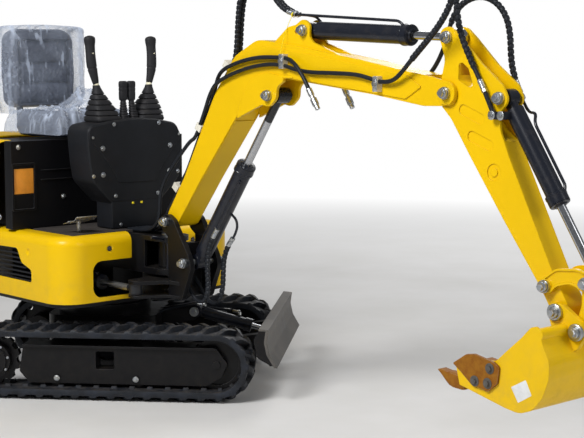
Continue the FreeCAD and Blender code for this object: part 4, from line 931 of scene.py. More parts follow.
class EXCAVATOR_OT_tracks(bpy.types.Operator):
    """Makes the two rubber tracks with their leaning bars and guide teeth"""

    bl_idname = "excavator.tracks"
    bl_label = "Tracks"

    def execute(self, context):
        sizes = context.scene.excavator_sizes
        for side, name in ((-1, "right"), (1, "left")):
            piece = make("rubber_track_" + name, [track_surface(side, sizes.bar_height, sizes.bars)],
                         "track_rubber", "undercarriage", upper=False, sharp=50)
            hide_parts("track_" + name)
        return {"FINISHED"}


# Bolts round a sprocket's hub, and how far out the tie-down loops stand
HUB_BOLTS = 8
HUB_RADIUS = 0.065
TIE_Y = 0.243


class EXCAVATOR_OT_running_gear(bpy.types.Operator):
    """Makes the axle nuts, hub bolts and tie-down loops of the undercarriage"""

    bl_idname = "excavator.running_gear"
    bl_label = "Running gear"

    def execute(self, context):
        nuts, loops = [], []
        for side in SIDES:
            out, y = (0, side, 0), side * TIE_Y
            hub = [(SPROCKET_X + HUB_RADIUS * math.cos(a), side * (TRACK_Y + 0.048),
                    TRACK_RADIUS + HUB_RADIUS * math.sin(a)) for a in angles(HUB_BOLTS) + 0.2]
            nuts += bolts([(x, side * (TRACK_Y + FRAME_HALF + 0.010), ROLLER_Z) for x in ROLLER_X], out, 0.015, 0.8)
            nuts += bolts(hub, out, 0.010, 0) + bolt((SPROCKET_X, side * (TRACK_Y + 0.060), TRACK_RADIUS), out, 0.020)
            for x in (-0.150, 0.205):
                line = [(x, y, .200), (x, y, .236), (x + .012, y, .250), (x + .045, y, .252), (x + .057, y, .238),
                        (x + .057, y, .200)]
                loops.append(tube(spline_line(line, 6), 0.0055, 10, 0.004))
        make("axle_nuts", nuts, "zinc_steel", "undercarriage", upper=False)
        make("tie_down_loops", loops, "black_paint", "undercarriage", upper=False)
        return {"FINISHED"}


# Length of the blade cylinder, along which its ports are placed
BLADE_BARREL = 0.325


class EXCAVATOR_OT_blade_details(bpy.types.Operator):
    """Makes the blade cylinder's port fittings and its hoses"""

    bl_idname = "excavator.blade_details"
    bl_label = "Blade hoses"

    def execute(self, context):
        base = np.array(BLADE_CYL_BASE)
        ahead = unit(BLADE_CYL_EYE - base)
        hoses, metal = [], []
        for side, share in ((-1, 0.13), (1, 0.60)):
            up, back = unit((0.0, side * 0.5, 0.8)), unit((-1, side * .55, .10))
            port = base + ahead * BLADE_BARREL * share + (0, side * 0.006, 0.026)
            turn = port + up * 0.016
            start = turn + back * 0.034
            metal.append(lathe([(.0075, 0), (.0085, .002), (.0085, .014), (.006, .016)], port, up))
            metal.append(lathe([(.0085, 0), (.0095, .002), (.0095, .012), (.0075, .014), (.0075, .034), (.006, .036)],
                               turn, back))
            route = [start, start + (-.030, side * .018, .002), (.300, side * .048, .312), (.262, side * .060, .306),
                     (.240, side * .070, .290)]
            hoses.append(tube(spline_line(route), 0.0062, 12, 0.004))
        make("blade_fittings", metal, "zinc_steel", "blade_cylinder", upper=False)
        piece = make("blade_hoses", hoses, "hose_rubber", upper=False)
        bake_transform(piece)
        return {"FINISHED"}


# Fasteners of the front

PIN_HEAD = 0.021


def pin_end(at, side):
    """Chamfered collar and hexagon head on a pin's end."""
    out = np.array([0.0, side, 0.0])
    collar = lathe([(.0145, -.001), (.0175, .001), (.0178, .008), (.0160, .0105), (.0125, .0112)], at, out, 32)
    return [collar] + bolt(at + out * 0.0110, out, PIN_HEAD, 0)


# Pins by body: (x, z) in the boom's plane and how far out its two heads stand
PIN_ENDS = (
    ("swing_bracket", BOOM_FOOT, 0.090),
    ("swing_bracket", BOOM_CYL_FOOT, 0.090),
    ("boom", BOOM_CYL_EYE, 0.070),
    ("boom", ARM_CYL_BASE, 0.048),
    ("boom", ARM_PIVOT, 0.068),
    ("arm", ARM_CYL_EYE, 0.052),
    ("arm", BUCKET_CYL_BASE, 0.052),
    ("arm", IDLER_PIN, 0.068),
    ("idler_links", LINK_TOP, 0.068),
    ("bucket", BUCKET_PIN, 0.076),
    ("bucket", LINK_LOW, 0.076),
)
# Upper edge of the doubler at the boom's knee, (x, z)
KNEE_EDGE = [(.968, 1.180), (.976, 1.192), (.998, 1.217), (1.022, 1.240), (1.052, 1.264), (1.091, 1.285),
             (1.131, 1.298), (1.169, 1.304), (1.213, 1.307), (1.262, 1.305)]


class EXCAVATOR_OT_pin_ends(bpy.types.Operator):
    """Makes the collars and heads on the pins' ends, the bucket's bushings and the weld at the boom's knee"""

    bl_idname = "excavator.pin_ends"
    bl_label = "Pin ends"

    def execute(self, context):
        for body in dict.fromkeys(owner for owner, _, _ in PIN_ENDS):
            ends = [part for owner, (x, z), reach in PIN_ENDS if owner == body for side in SIDES
                    for part in pin_end((x, side * reach, z), side)]
            make(body + "_pin_ends", ends, "zinc_steel", body)
        car, blade, rings, welds = [], [], [], []
        for side in SIDES:
            out = (0, side, 0)
            car += bolts([(0.335, y + side * 0.044, 0.150) for y in (-0.150, 0.150)], out, PIN_HEAD, 0)
            car += bolt(BLADE_CYL_BASE + np.array(out) * 0.046, out, PIN_HEAD, 0)
            blade += bolt(BLADE_CYL_EYE + np.array(out) * 0.046, out, PIN_HEAD, 0)
            rings += [lathe([(.0205, -.009), (.0262, -.009), (.0262, .0005), (.0235, .0025), (.0205, .0025)],
                            (x, side * reach, z), out, 36) for _, (x, z), reach in PIN_ENDS[-2:]]
            line, _ = evenly(spline_line([(x, side * 0.0520, z) for x, z in KNEE_EDGE]), 0.005)
            welds.append(along(line, 0.0080 * np.sin(np.linspace(0.25, math.pi - 0.25, len(line)))[:, None] ** 0.4, 14))
        make("car_pin_ends", car, "zinc_steel", "undercarriage", upper=False)
        make("blade_pin_ends", blade, "zinc_steel", "blade", upper=False)
        make("bucket_bushings", rings, "zinc_steel", "bucket")
        make("knee_weld", welds, "yellow_paint", "boom")
        return {"FINISHED"}


# Hoses

# How far a spiral guard stands up from its hose, and the length of a crimped sleeve
GUARD_RISE = 0.0030
SLEEVE = 0.030


def wrapped(line, radius, pitch, sides=16):
    """Hose in a spiral guard: radius(s, t) is radius + GUARD_RISE times the smoothstep of a triangle wave of
    s / pitch - t / 2 pi."""
    points, gone = evenly(line, pitch / 8)
    t = np.arange(sides) / sides
    phase = (gone[:, None] / pitch - t[None]) % 1.0
    wave = smooth((np.minimum(phase, 1 - phase) * 2 - 0.16) / 0.22)
    fade = smooth(np.minimum(gone, gone[-1] - gone) / 0.010)[:, None]
    return along(points, radius + GUARD_RISE * wave * fade, sides)


def guarded(route, sizes, clean, start, end, tail=1.0):
    """Hose on a route: plain up to the share clean of its length, in its guard from start to end, and plain again
    at its tail, which is tail times as thick."""
    line, r = spline_line(route), sizes.hose_radius
    return [tube(part_of(line, 0.0, clean), r), wrapped(part_of(line, start, end), r, sizes.wrap_pitch),
            tube(part_of(line, end - 0.01, 1.0), r * tail)]


def ferrule(route, back, r):
    """Crimped sleeve over the last stretch of a hose's route, from back before its end, and a hexagon nut on it."""
    end = np.array(route[-1])
    axis = unit(end - route[-2])
    at = end - axis * back
    steps = [(r * .8, -.001), (r * 1.28, 0)]
    for k in range(4):
        a = SLEEVE * (0.12 + 0.2 * k)
        steps += [(r * 1.30, a), (r * 1.20, a + SLEEVE * .05), (r * 1.20, a + SLEEVE * .08),
                  (r * 1.30, a + SLEEVE * .13)]
    steps += [(r * 1.28, SLEEVE * .95), (r * .8, SLEEVE)]
    nut = lathe([(r * 1.1, 0), (r * 1.38, .0012), (r * 1.38, .0125), (r * 1.1, .0137)], at + axis * SLEEVE, axis,
                section=hexagon)
    return [(lathe(steps, at, axis, 20), "zinc_steel"), (nut, "zinc_steel")]


def part_of(line, low, high):
    """The stretch of a line between two shares of its length."""
    points, gone = evenly(line, 0.003)
    keep = (gone >= low * gone[-1]) & (gone <= high * gone[-1])
    return points[keep]


def mirrored(points):
    return [(x, -y, z) for x, y, z in points]


class EXCAVATOR_OT_boom_hoses(bpy.types.Operator):
    """Makes the six hoses that are clamped to the boom, two of them rising in spiral guards to the arm's cylinder"""

    bl_idname = "excavator.boom_hoses"
    bl_label = "Boom hoses"

    def execute(self, context):
        sizes = context.scene.excavator_sizes
        r = sizes.hose_radius
        parts = []
        for turn in (list, mirrored):
            parts += [tube(spline_line(turn(route)), r) for route in (TIP_HOSE, AUX_HOSE)]
            parts += guarded(turn(CYLINDER_HOSE), sizes, 0.25, 0.245, 0.97, 0.9)
            parts += ferrule(turn(CYLINDER_HOSE), 0.045, r)
        piece = make("boom_hose_set", parts, "hose_rubber", "boom")
        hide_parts("boom_hoses")
        return {"FINISHED"}


# Height at which the foot hoses' lower and upper lengths meet
HOSE_SPLIT = 0.740


class EXCAVATOR_OT_foot_hoses(bpy.types.Operator):
    """Makes the six hoses from the deck up the back of the boom, in a lower and an upper length"""

    bl_idname = "excavator.foot_hoses"
    bl_label = "Foot hoses"

    def execute(self, context):
        r = context.scene.excavator_sizes.hose_radius
        lower, upper = [], []
        for y, route in zip(HOSE_YS, (SLACK_ROUTE, CLOSE_ROUTE, CLOSE_ROUTE)):
            for side in SIDES:
                line, _ = evenly(spline_line([(x, side * y, z) for x, z in route]), 0.006)
                split = int(np.argmax(line[:, 2] > HOSE_SPLIT))
                lower.append(along(line[:split + 1], r))
                upper.append(along(line[split:], r))
        low = make("foot_hose_lower", lower, "hose_rubber")
        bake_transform(low)
        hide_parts("foot_hoses")
        high = make("foot_hose_upper", upper, "hose_rubber")
        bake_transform(high)
        return {"FINISHED"}


class EXCAVATOR_OT_arm_hoses(bpy.types.Operator):
    """Makes the two hoses that arch over the arm's pivot to the bucket's cylinder, with guards and fittings"""

    bl_idname = "excavator.arm_hoses"
    bl_label = "Arm hoses"

    def execute(self, context):
        sizes = context.scene.excavator_sizes
        parts = guarded(OVER_RIGHT, sizes, 0.16, 0.155, 0.93) + guarded(OVER_LEFT, sizes, 0.36, 0.355, 0.95)
        for route in (OVER_RIGHT, OVER_LEFT):
            parts += ferrule(route, 0.044, sizes.hose_radius)
        piece = make("arm_hose_set", parts, "hose_rubber")
        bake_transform(piece)
        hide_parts("arm_hoses")
        return {"FINISHED"}


class EXCAVATOR_OT_boom_cylinder_hoses(bpy.types.Operator):
    """Makes the two hoses that rise from the bracket to the boom's cylinder, with guards and fittings"""

    bl_idname = "excavator.boom_cylinder_hoses"
    bl_label = "Boom cylinder hoses"

    def execute(self, context):
        sizes = context.scene.excavator_sizes
        parts = []
        for route in (BOOM_CYL_RIGHT, BOOM_CYL_LEFT):
            parts += guarded(route, sizes, 0.08, 0.07, 0.62) + ferrule(route[::-1], 0.040, sizes.hose_radius)
        piece = make("boom_cylinder_hose_set", parts, "hose_rubber")
        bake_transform(piece)
        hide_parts("boom_cylinder_hoses")
        return {"FINISHED"}


class EXCAVATOR_OT_clamp_straps(bpy.types.Operator):
    """Makes the bolted straps over the hose clamps and the tie round the cylinder's hoses"""

    bl_idname = "excavator.clamp_straps"
    bl_label = "Clamp straps"

    def execute(self, context):
        parts = []
        for x, z, turn in ((0.567, 0.864, 53.5), (0.715, 1.106, 59.9), (0.884, 1.346, 54.0)):
            a = math.radians(turn)
            out = np.array([-math.sin(a), 0, math.cos(a)])
            parts += bolts([(x, y, z) + out * 0.016 for y in (-0.0365, -0.018, 0.018, 0.0365)], out, 0.011)
        for x, z in ((1.225, 1.362), (1.696, 1.288)):
            for side in SIDES:
                low, high = sorted((side * 0.0775, side * 0.0800))
                outline = rectangle(x - .0105, x + .0105, z - .0255, z + .0255, .004, 4)
                parts.append((slab(outline, low, high, in_xz, 0.0008, 2), "bright_steel"))
                parts += bolt((x, side * 0.0800, z), (0, side, 0), 0.013)
        make("clamp_straps", parts, "zinc_steel", "boom")
        a = angles(24)
        ring = np.stack([1.2205 + .0024 * np.sin(a), .020 * np.cos(a), 1.5295 + .0115 * np.sin(a)], 1)
        band = skin([ring * (1, wide, 1) + (x, 0, 0)
                     for x, wide in ((-.003, 1), (-.003, 1.08), (.003, 1.08), (.003, 1))], "loop")
        strand = [(1.221, -.018, 1.529), (1.215, -.036, 1.490), (1.222, -.066, 1.430), (1.214, -.074, 1.385)]
        make("hose_tie", [band, tube(spline_line(strand), 0.0011, 8)], "tie_yellow", "boom")
        return {"FINISHED"}


# Cylinders

# Rams by body: pins of base and eye, radii of barrel and rod, and length of the barrel from its pin
RAMS = (
    ("boom_cylinder", BOOM_CYL_FOOT, BOOM_CYL_EYE, .034, .016, .490),
    ("arm_cylinder", ARM_CYL_BASE, ARM_CYL_EYE, .032, .014, .487),
    ("bucket_cylinder", BUCKET_CYL_BASE, LINK_TOP, .030, .014, .378),
)


class EXCAVATOR_OT_cylinder_fittings(bpy.types.Operator):
    """Makes the glands and rims of the cylinders, the swing cylinder's barrel and the bolts of a port"""

    bl_idname = "excavator.cylinder_fittings"
    bl_label = "Cylinder fittings"

    def execute(self, context):
        for body, base, eye, barrel, bore, closed in RAMS:
            ahead = unit(in_plane(eye) - in_plane(base))
            end = in_plane(base) + ahead * closed
            gland = [(bore + .0006, -.004), (bore + .009, -.0005), (barrel + .0025, .0002), (barrel + .0025, .0035),
                     (bore + .0085, .0048), (bore + .0065, .0085), (bore + .0012, .0092), (bore + .0006, .0040)]
            rim = [(barrel + .0035, -.034), (barrel + .0052, -.032), (barrel + .0052, -.024), (barrel + .0035, -.022)]
            make(body + "_gland", [lathe(ring, end, ahead, 36) for ring in (gland, rim)], "cylinder_black", body)
        _, y, z = SWING_EYE
        shell = lathe([(.0265, 0), (.0300, .004), (.0300, .268), (.0330, .270), (.0330, .298), (.0310, .300),
                       (.0140, .3005), (.0140, .285)], (-.072, y, z), (1, 0, 0), 40)
        eye = lathe([(.026, -.0095), (.0275, -.008), (.0275, .008), (.026, .0095)], (-.100, y, z), (0, 0, 1), 40)
        neck = slab(arc_outline([(-.095, y - .024, .002), (-.066, y - .026, .002), (-.066, y + .026, .002),
                                 (-.095, y + .024, .002)], 3), z - .0095, z + .0095, in_xy, .001, 2)
        port = lathe([(.010, -.004), (.010, .012), (.007, .014)], (.195, y - .006, z + .028), (0, -.2, 1), 24)
        barrel = make("swing_barrel", [shell, eye, neck, port], "cylinder_black", "swing_cylinder")
        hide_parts("swing_cylinder")
        make("port_bolts", bolts([(2.190, -0.066, 1.198), (2.226, -0.066, 1.198)], (0, -1, 0), 0.014), "zinc_steel",
             "bucket_cylinder")
        return {"FINISHED"}


# Seat

SEAT_BACK = [(-.158, 1.158, .040), (.158, 1.158, .040), (.166, 1.300, .300), (.160, 1.496, .056),
             (-.160, 1.496, .056), (-.166, 1.300, .300)]
SEAT_CUSHION = [(-.415, -.190, .070), (-.020, -.200, .075), (-.020, .200, .075), (-.415, .190, .070)]
# Heights of the seams between pleats, and the sunk panel's half-width and middle height
PLEATS = (1.172, 1.264, 1.352, 1.449)
PANEL_HALF = 0.130
PANEL_MIDDLE = 1.3105
# Rings on a pad's face
PAD_RINGS = 60


def waves(a, b, seed, size, count=9):
    """Folds: the mean of count sines of seeded direction and phase, each about size long."""
    rng = np.random.default_rng(seed)
    turn = rng.uniform(0, math.pi, count)
    fine = 2 * math.pi / (size * rng.uniform(0.6, 1.6, count))
    phase = rng.uniform(0, 2 * math.pi, count)
    way = np.cos(turn) * np.asarray(a)[..., None] + np.sin(turn) * np.asarray(b)[..., None]
    return np.sin(way * fine + phase).mean(-1)


def creases(a, b, seed, size, count=5):
    """Sharp folds: 1 - |wave| of a few seeded waves, raised to the third power."""
    rng = np.random.default_rng(seed)
    total = 0.0
    for k in range(count):
        total = total + (1 - np.abs(waves(a, b, seed + 17 * k, size * rng.uniform(0.7, 1.5), 4)) * 2.2).clip(0) ** 3
    return total / count


def pad(corners, low, high, roll, relief, place):
    """Cushion: an outline shrunk about its middle share by share. Its face stands at high + relief(a, b), turns down
    at the rim in a quarter ellipse of height roll, swells at the side by a sine, and closes flat at low. relief
    returns the height and how deep in a seam it is, and so does this: the surface and each point's painted seam shade."""
    outline = arc_outline(corners, 12)
    outline = evenly(np.concatenate([outline, outline[:1]]), 0.005)[0][:-1]
    outline = outline + 0.0015 * waves(outline[:, 0], outline[:, 1], 5, 0.12)[:, None]
    middle = outline.mean(0)
    edge = roll / np.linalg.norm(outline - middle, axis=1).min()
    t = np.linspace(0, math.pi / 2, 9)[1:]
    share = np.concatenate([np.linspace(0.03, 1 - edge, PAD_RINGS), 1 - edge * (1 - np.sin(t))])
    drop = np.concatenate([np.zeros(PAD_RINGS), roll * (1 - np.cos(t))])
    fade = np.concatenate([np.ones(PAD_RINGS), np.cos(t) ** 2])[:, None]
    down, turn = np.linspace(0, 1, 8)[1:], np.linspace(0, math.pi / 2, 5)[1:]
    share = np.concatenate([share, 1 + 0.030 * np.sin(down * math.pi), 1 - edge * 0.5 * (1 - np.cos(turn))])
    level = np.concatenate([high - drop, high - roll + (low + roll * 0.5 - high + roll) * down,
                            low + roll * 0.5 * (1 - np.sin(turn))])
    a, b = np.moveaxis(middle + (outline - middle) * share[:, None, None], -1, 0)
    level = np.repeat(level[:, None], len(outline), 1)
    face = len(drop)
    rise, seam = relief(a[:face], b[:face])
    level[:face] += rise * fade
    surface = skin(np.stack(place(a, b, level), -1))
    # Each point's painted seam shade, faded out on the rim.
    folds = np.zeros(len(surface[0]))
    folds[:seam.size] = (seam * fade).ravel()
    return surface, folds


def back_relief(y, z):
    """Sunk middle panel with bulging pleats between PLEATS, a stitched groove round it and soft wrinkles."""
    reach = np.maximum(np.abs(y) / PANEL_HALF, np.abs(z - PANEL_MIDDLE) / 0.1400)
    inside = 1 - smooth((reach - 0.94) / 0.10)
    ends = np.clip((PANEL_HALF - np.abs(y)) / 0.020, 0, 1) ** 0.5
    pleat, valley = np.zeros_like(y), np.zeros_like(y)
    for low, high in zip(PLEATS[:-1], PLEATS[1:]):
        t = np.clip((z - low) / (high - low), 0, 1)
        pleat = np.maximum(pleat, np.sqrt(np.clip(np.sin(t * math.pi), 0, 1)) * ends * ((z > low) & (z < high)))
    for at in PLEATS[1:-1]:
        valley = np.maximum(valley, np.exp(-((z - at - 0.004 * np.sin(y * 30)) / 0.0060) ** 2) * inside)
    groove = np.exp(-((reach - 1.0) / 0.030) ** 2)
    wrinkle = 0.0022 * waves(y, z, 3, 0.07) + 0.0050 * creases(y, z, 8, 0.045)
    # The second value is the painted shade, with some dirt, of the valleys between pleats and of the groove.
    return (-0.026 * inside + 0.024 * pleat * inside - 0.008 * groove + wrinkle,
            np.clip(0.9 * valley + 0.55 * groove * (pleat < 0.6), 0, 1))


def cushion_relief(x, y):
    """Raised rolls along both sides, two cross seams and soft wrinkles."""
    side = smooth((np.abs(y) - 0.115) / 0.03)
    seams = sum(np.exp(-((x - at) / 0.006) ** 2) for at in (-0.300, -0.180)) * (1 - side)
    groove = np.exp(-((np.abs(y) - 0.122) / 0.005) ** 2)
    front = smooth((x + 0.08) / 0.07)
    rise = 0.014 * side - 0.007 * seams - 0.006 * groove - 0.012 * front + 0.0020 * waves(x, y, 4, 0.08)
    # The second value is the painted shade, with some dirt, of the seams and grooves.
    return rise, np.clip(0.8 * seams + 0.6 * groove, 0, 1)


class EXCAVATOR_OT_seat(bpy.types.Operator):
    """Makes the pleated back, the cushion and the hinge of the seat"""

    bl_idname = "excavator.seat"
    bl_label = "Seat"

    def execute(self, context):
        for name, (surface, folds) in (
            ("seat_back", pad(SEAT_BACK, -0.545, -0.438, 0.030, back_relief, reclined)),
            ("seat_cushion", pad(SEAT_CUSHION, 1.040, 1.136, 0.036, cushion_relief, in_xy)),
        ):
            piece = make(name, [surface], "seat_vinyl", "upper", sharp=60, folds=folds)
            if name == "seat_back":
                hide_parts("seat")
        plate = arc_outline([(-.500, 1.062, .006), (-.380, 1.062, .010), (-.385, 1.092, .012), (-.452, 1.110, .020),
                             (-.470, 1.250, .010), (-.512, 1.250, .010)], 4)
        hinge = [slab(plate, y - .003, y + .003, in_xz, .0008, 2) for y in (-.110, .110)]
        axle = np.array([(-.478, -.107, 1.086), (-.478, .107, 1.086)])
        hinge.append(tube(axle, .007, 14, .01, ALONG_X))
        make("seat_hinge", hinge, "black_paint", "upper")
        return {"FINISHED"}


# Level and height of the film bag, and the heap's ends and half-width
BAG_FOOT = 1.128
BAG_TALL = 0.392
HEAP_REAR = -0.430
HEAP_FRONT = 0.004
HEAP_HALF = 0.224
# Ridges of the heap: (y at x = -0.15, slope, height)
HEAP_RIDGES = ((-0.02, -0.75, 1.0), (0.10, -0.95, 0.8), (-0.13, -0.35, 0.7))


def bag_surface(crumple):
    """Film bag over the back: at each height a flat oval, |y / w| ^ n + |x / d| ^ n = 1, deeper behind its widest
    line than in front of it, open below and pinched shut along the top, pushed out by seeded creases."""
    v, u = np.meshgrid(np.linspace(0, 1, 90), np.linspace(0, 2 * math.pi, 241)[:-1], indexing="ij")
    c, s = np.cos(u), np.sin(u)
    front = s > 0
    top = np.clip((1 - v) / 0.08, 0, 1)
    shut = np.sqrt(1 - (1 - top) ** 2)
    half = 0.212 + 0.010 * smooth(v / 0.6) - 0.022 * (1 - shut) - 0.030 * smooth((0.20 - v) / 0.20)
    deep = 0.004 + np.where(front, 0.020, 0.094) * shut
    grow = squared(u, 5)
    z = BAG_FOOT + BAG_TALL * v - 0.012 * c * c * np.clip(v - 0.8, 0, 1) * 5
    across = half * c * grow
    tall = creases(across * 1.3, z * 0.40 + 0.25 * across, 21, 0.120)
    small = creases(across, z, 24, 0.035)
    loose = smooth((np.abs(across) - 0.125) / 0.05)
    push = crumple * (1.0 * tall + 0.5 * small + 0.30 * waves(across, z, 22, 0.030)) * (0.45 + 0.9 * loose)
    x = -0.459 - (z - 1.16) * 0.012 + deep * s * grow * (1 - 0.55 * loose * front) + push * np.where(front, 0.7, 1) * s
    # Painted highlight: how white the film shows, most on its creases, its loose sides and its pinched top.
    fold = np.clip((tall - 0.27) * 3.2, 0, 1) * 0.60 + np.clip((small - 0.36) * 3, 0, 1) * 0.30
    fold = fold + 0.06 + 0.22 * loose + 0.35 * (1 - top)
    points = np.stack([x, across + push * c * 0.5, z], -1)
    return (points.reshape(-1, 3), [grid(*x.shape, closed_m=True)[:, [0, 3, 2, 1]]]), fold


def heap_surface(crumple):
    """Film heaped on the cushion: its height is the cushion's, rounded off outside it, plus seeded creases and long
    diagonal ridges, and it climbs to the bag at the left rear."""
    x, y = np.meshgrid(np.linspace(HEAP_REAR, HEAP_FRONT, 130), np.linspace(-HEAP_HALF, HEAP_HALF, 130), indexing="ij")
    inside = np.minimum(np.minimum(x - HEAP_REAR, HEAP_FRONT - x) / 0.050, (HEAP_HALF - np.abs(y)) / 0.045).clip(0, 1)
    rise = np.sqrt(1 - (1 - inside) ** 2)
    long_folds = creases(x * 0.5 + y * 0.9, y * 0.35 - x * 0.25, 31, 0.060)
    small = creases(x, y, 32, 0.040)
    ridge = sum(high * np.exp(-((y - at - lean * (x + 0.15) - 0.02 * np.sin(x * 22)) / 0.020) ** 2)
                for at, lean, high in HEAP_RIDGES)
    climb = smooth((-x - 0.14) / 0.24) * smooth((y + 0.02) / 0.20)
    rough = 2.2 * ridge + 1.4 * long_folds + 0.9 * small + 0.3 * waves(x, y, 33, 0.020)
    z = 1.050 + 0.094 * rise + crumple * rough * (0.35 + 0.65 * rise) + 0.085 * climb * rise
    # Painted highlight: how white the film shows, most on its ridges and creases.
    fold = np.clip(0.6 * ridge + (long_folds - 0.26) * 2.4 + (small - 0.34) * 1.2, 0, 1) * 0.7 + 0.26
    wander = 0.005 * waves(x, y, 34, 0.05)
    return (np.stack([x + wander, y - wander, z], -1).reshape(-1, 3), [grid(*x.shape)]), fold


class EXCAVATOR_OT_seat_film(bpy.types.Operator):
    """Makes the clear film that still covers the seat: a bag over the back and a heap on the cushion"""

    bl_idname = "excavator.seat_film"
    bl_label = "Seat film"

    def execute(self, context):
        crumple = context.scene.excavator_sizes.film_crumple
        for name, (surface, folds), tall, rests in (
            ("film_bag", bag_surface(crumple), 0.80, ["seat_back"]),
            ("film_heap", heap_surface(crumple), 0.60, ["seat_cushion"]),
        ):
            piece = make(name, [surface], "seat_film", "upper", sharp=80, folds=folds)
        return {"FINISHED"}


# Controls

# Height of the console's and the seat box's top, which the controls stand on
CONTROL_LEVEL = 1.118


def bellows(side):
    """Ribbed boot: at each height a rib's skirt, wide at its foot and undercut, in a section that turns from a
    rounded square at the base to a circle at the neck, about a line that leans outwards."""
    steps = [(-.006, .0600), (-.001, .0640), (.004, .0645), (.0155, .0610), (.0180, .0590), (.0190, .0530)]
    for low, wide in ((.0205, .0600), (.0425, .0530), (.0640, .0440), (.0855, .0345)):
        steps += [(low, wide - .0050), (low + .0006, wide - .0010), (low + .0020, wide), (low + .0060, wide - .0008),
                  (low + .0165, wide - .0060), (low + .0190, wide - .0078), (low + .0198, wide - .0125)]
    steps += [(.1070, .0200), (.1076, .0240), (.1095, .0248), (.1200, .0212), (.1340, .0162), (.1415, .0150),
              (.1435, .0140), (.1445, .0110)]
    h, r = np.array(steps).T
    share = np.clip(h / 0.144, 0, 1)
    return stacked(0.158 - 0.008 * share, side * (0.108 + 0.026 * share), CONTROL_LEVEL + h, r, r, 5.0 - 3.0 * share,
                   72, in_xy)


def grip(side):
    """Joystick grip on a curved line, its radius given by height, flattened a little from front to rear."""
    way = np.array([(.150, side * .1342, 1.262), (.1500, side * .1385, 1.283), (.1490, side * .1465, 1.312),
                    (.1465, side * .1530, 1.345), (.1430, side * .1550, 1.390), (.1385, side * .1545, 1.435),
                    (.1365, side * .1545, 1.464)])
    line, gone = evenly(spline_line(way, 12), 0.0022)
    share = gone / gone[-1]
    radius = np.interp(share, [0, .02, .08, .20, .33, .345, .352, .375, .50, .66, .80, .88, .93, .965, .985, 1],
                       [.009, .0120, .0150, .0175, .0205, .0188, .0190, .0212, .0212, .0205, .0212, .0240, .0248,
                        .0225, .0170, .006])
    t = angles(32)
    flat = 1 - 0.10 * np.abs(np.sin(t))
    waist = 1 + 0.05 * np.cos(2 * t) * np.sin(share * math.pi)[:, None]
    return along(line, radius[:, None] * flat * waist, 32)


class EXCAVATOR_OT_joysticks(bpy.types.Operator):
    """Makes the two joysticks, their ribbed boots, and the pale collars and dots on them"""

    bl_idname = "excavator.joysticks"
    bl_label = "Joysticks"

    def execute(self, context):
        boots = make("boot_bellows", [bellows(side) for side in SIDES], "black_rubber", "upper", sharp=42)
        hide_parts("joystick_boots")
        collar = [(.0085, -.004), (.0118, -.003), (.0124, .002), (.0118, .008), (.0100, .0125), (.0085, .0130)]
        dot = [(.0015, -.004), (.0026, -.002), (.0026, .0012), (.0015, .0018)]
        parts = []
        for side in SIDES:
            parts += [grip(side),
                      (lathe(collar, (.150, side * .134, 1.2615), (0, side * .12, 1), 32), "collar_cream"),
                      (lathe(dot, (.163, side * .155, 1.392), (1, 0, 0.1), 16), "collar_cream")]
        sticks = make("joystick_grips", parts, "black_rubber", "upper", sharp=42)
        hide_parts("joysticks")
        return {"FINISHED"}


def lever_handle(y):
    """Flat moulded handle: rounded rectangles stacked upwards, their half-width dipping at two grooves."""
    z = np.array([1.1980, 1.2000, 1.204, 1.212, 1.232, 1.2345, 1.2365, 1.239, 1.248, 1.2505, 1.2525, 1.255, 1.268,
                  1.2735, 1.277, 1.2785])
    wide = np.array([.0120, .0150, .0162, .0166, .0170, .0160, .0160, .0170, .0172, .0162, .0162, .0173, .0175,
                     .0168, .0145, .0100])
    return stacked(0.179, y, z, wide * 0.70, wide, 4.5, 40, in_xy)


def lever_boot(y):
    """Ribbed sleeve of a lever: seven short skirts that shrink upwards on a line that leans back."""
    steps = [(-.004, .0165), (0.0, .0185)]
    for k in range(7):
        low, wide = 0.002 + 0.0105 * k, 0.0190 - 0.0011 * k
        steps += [(low, wide - .0030), (low + .0012, wide), (low + .0040, wide - .0003), (low + .0092, wide - .0024)]
    h, r = np.array(steps + [(.0790, .0100), (.0840, .0095)]).T
    share = h / 0.084
    return stacked(0.190 - 0.011 * share, y * (1.25 - 0.25 * share), CONTROL_LEVEL + h, r, r, 3.4, 32, in_xy)


class EXCAVATOR_OT_travel_levers(bpy.types.Operator):
    """Makes the two travel levers with their handles and boots, and the folded foot pedal"""

    bl_idname = "excavator.travel_levers"
    bl_label = "Travel levers"

    def execute(self, context):
        parts = [part for side in SIDES for part in (lever_handle(side * 0.0205), lever_boot(side * 0.0205))]
        levers = make("travel_lever_set", parts, "black_rubber", "upper", sharp=42)
        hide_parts("travel_levers")
        plate = arc_outline([(.188, .7080, .001), (.190, .7060, .001), (.250, .7210, .006), (.270, .7230, .004),
                             (.292, .7420, .004), (.290, .7440, .001), (.268, .7255, .004), (.249, .7238, .006)], 4)
        post = arc_outline([(.224, .676, .002), (.236, .676, .002), (.236, .722, .002), (.224, .718, .002)], 3)
        hinge = np.array([(.222, -.318, .716), (.222, -.250, .716)])
        parts = [slab(plate, -.334, -.236, in_xz, .0008, 2), slab(post, -.291, -.277, in_xz, .0008, 2),
                 tube(hinge, .0058, 14, .004, ALONG_X)]
        parts += bolts([(.204, y, .7115) for y in (-.312, -.258)], (-.24, 0, 1), .012)
        for x, z in ((.212, .7128), (.222, .7153), (.232, .7178), (.242, .7203)):
            tread = arc_outline([(x, z, .0006), (x + .0035, z + .0009, .0006), (x + .0029, z + .0033, .0006),
                                 (x - .0006, z + .0024, .0006)], 2)
            parts.append(slab(tread, -.326, -.244, in_xz, .0006, 2))
        piece = make("folded_pedal", parts, "bright_steel", "upper")
        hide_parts("pedal")
        return {"FINISHED"}


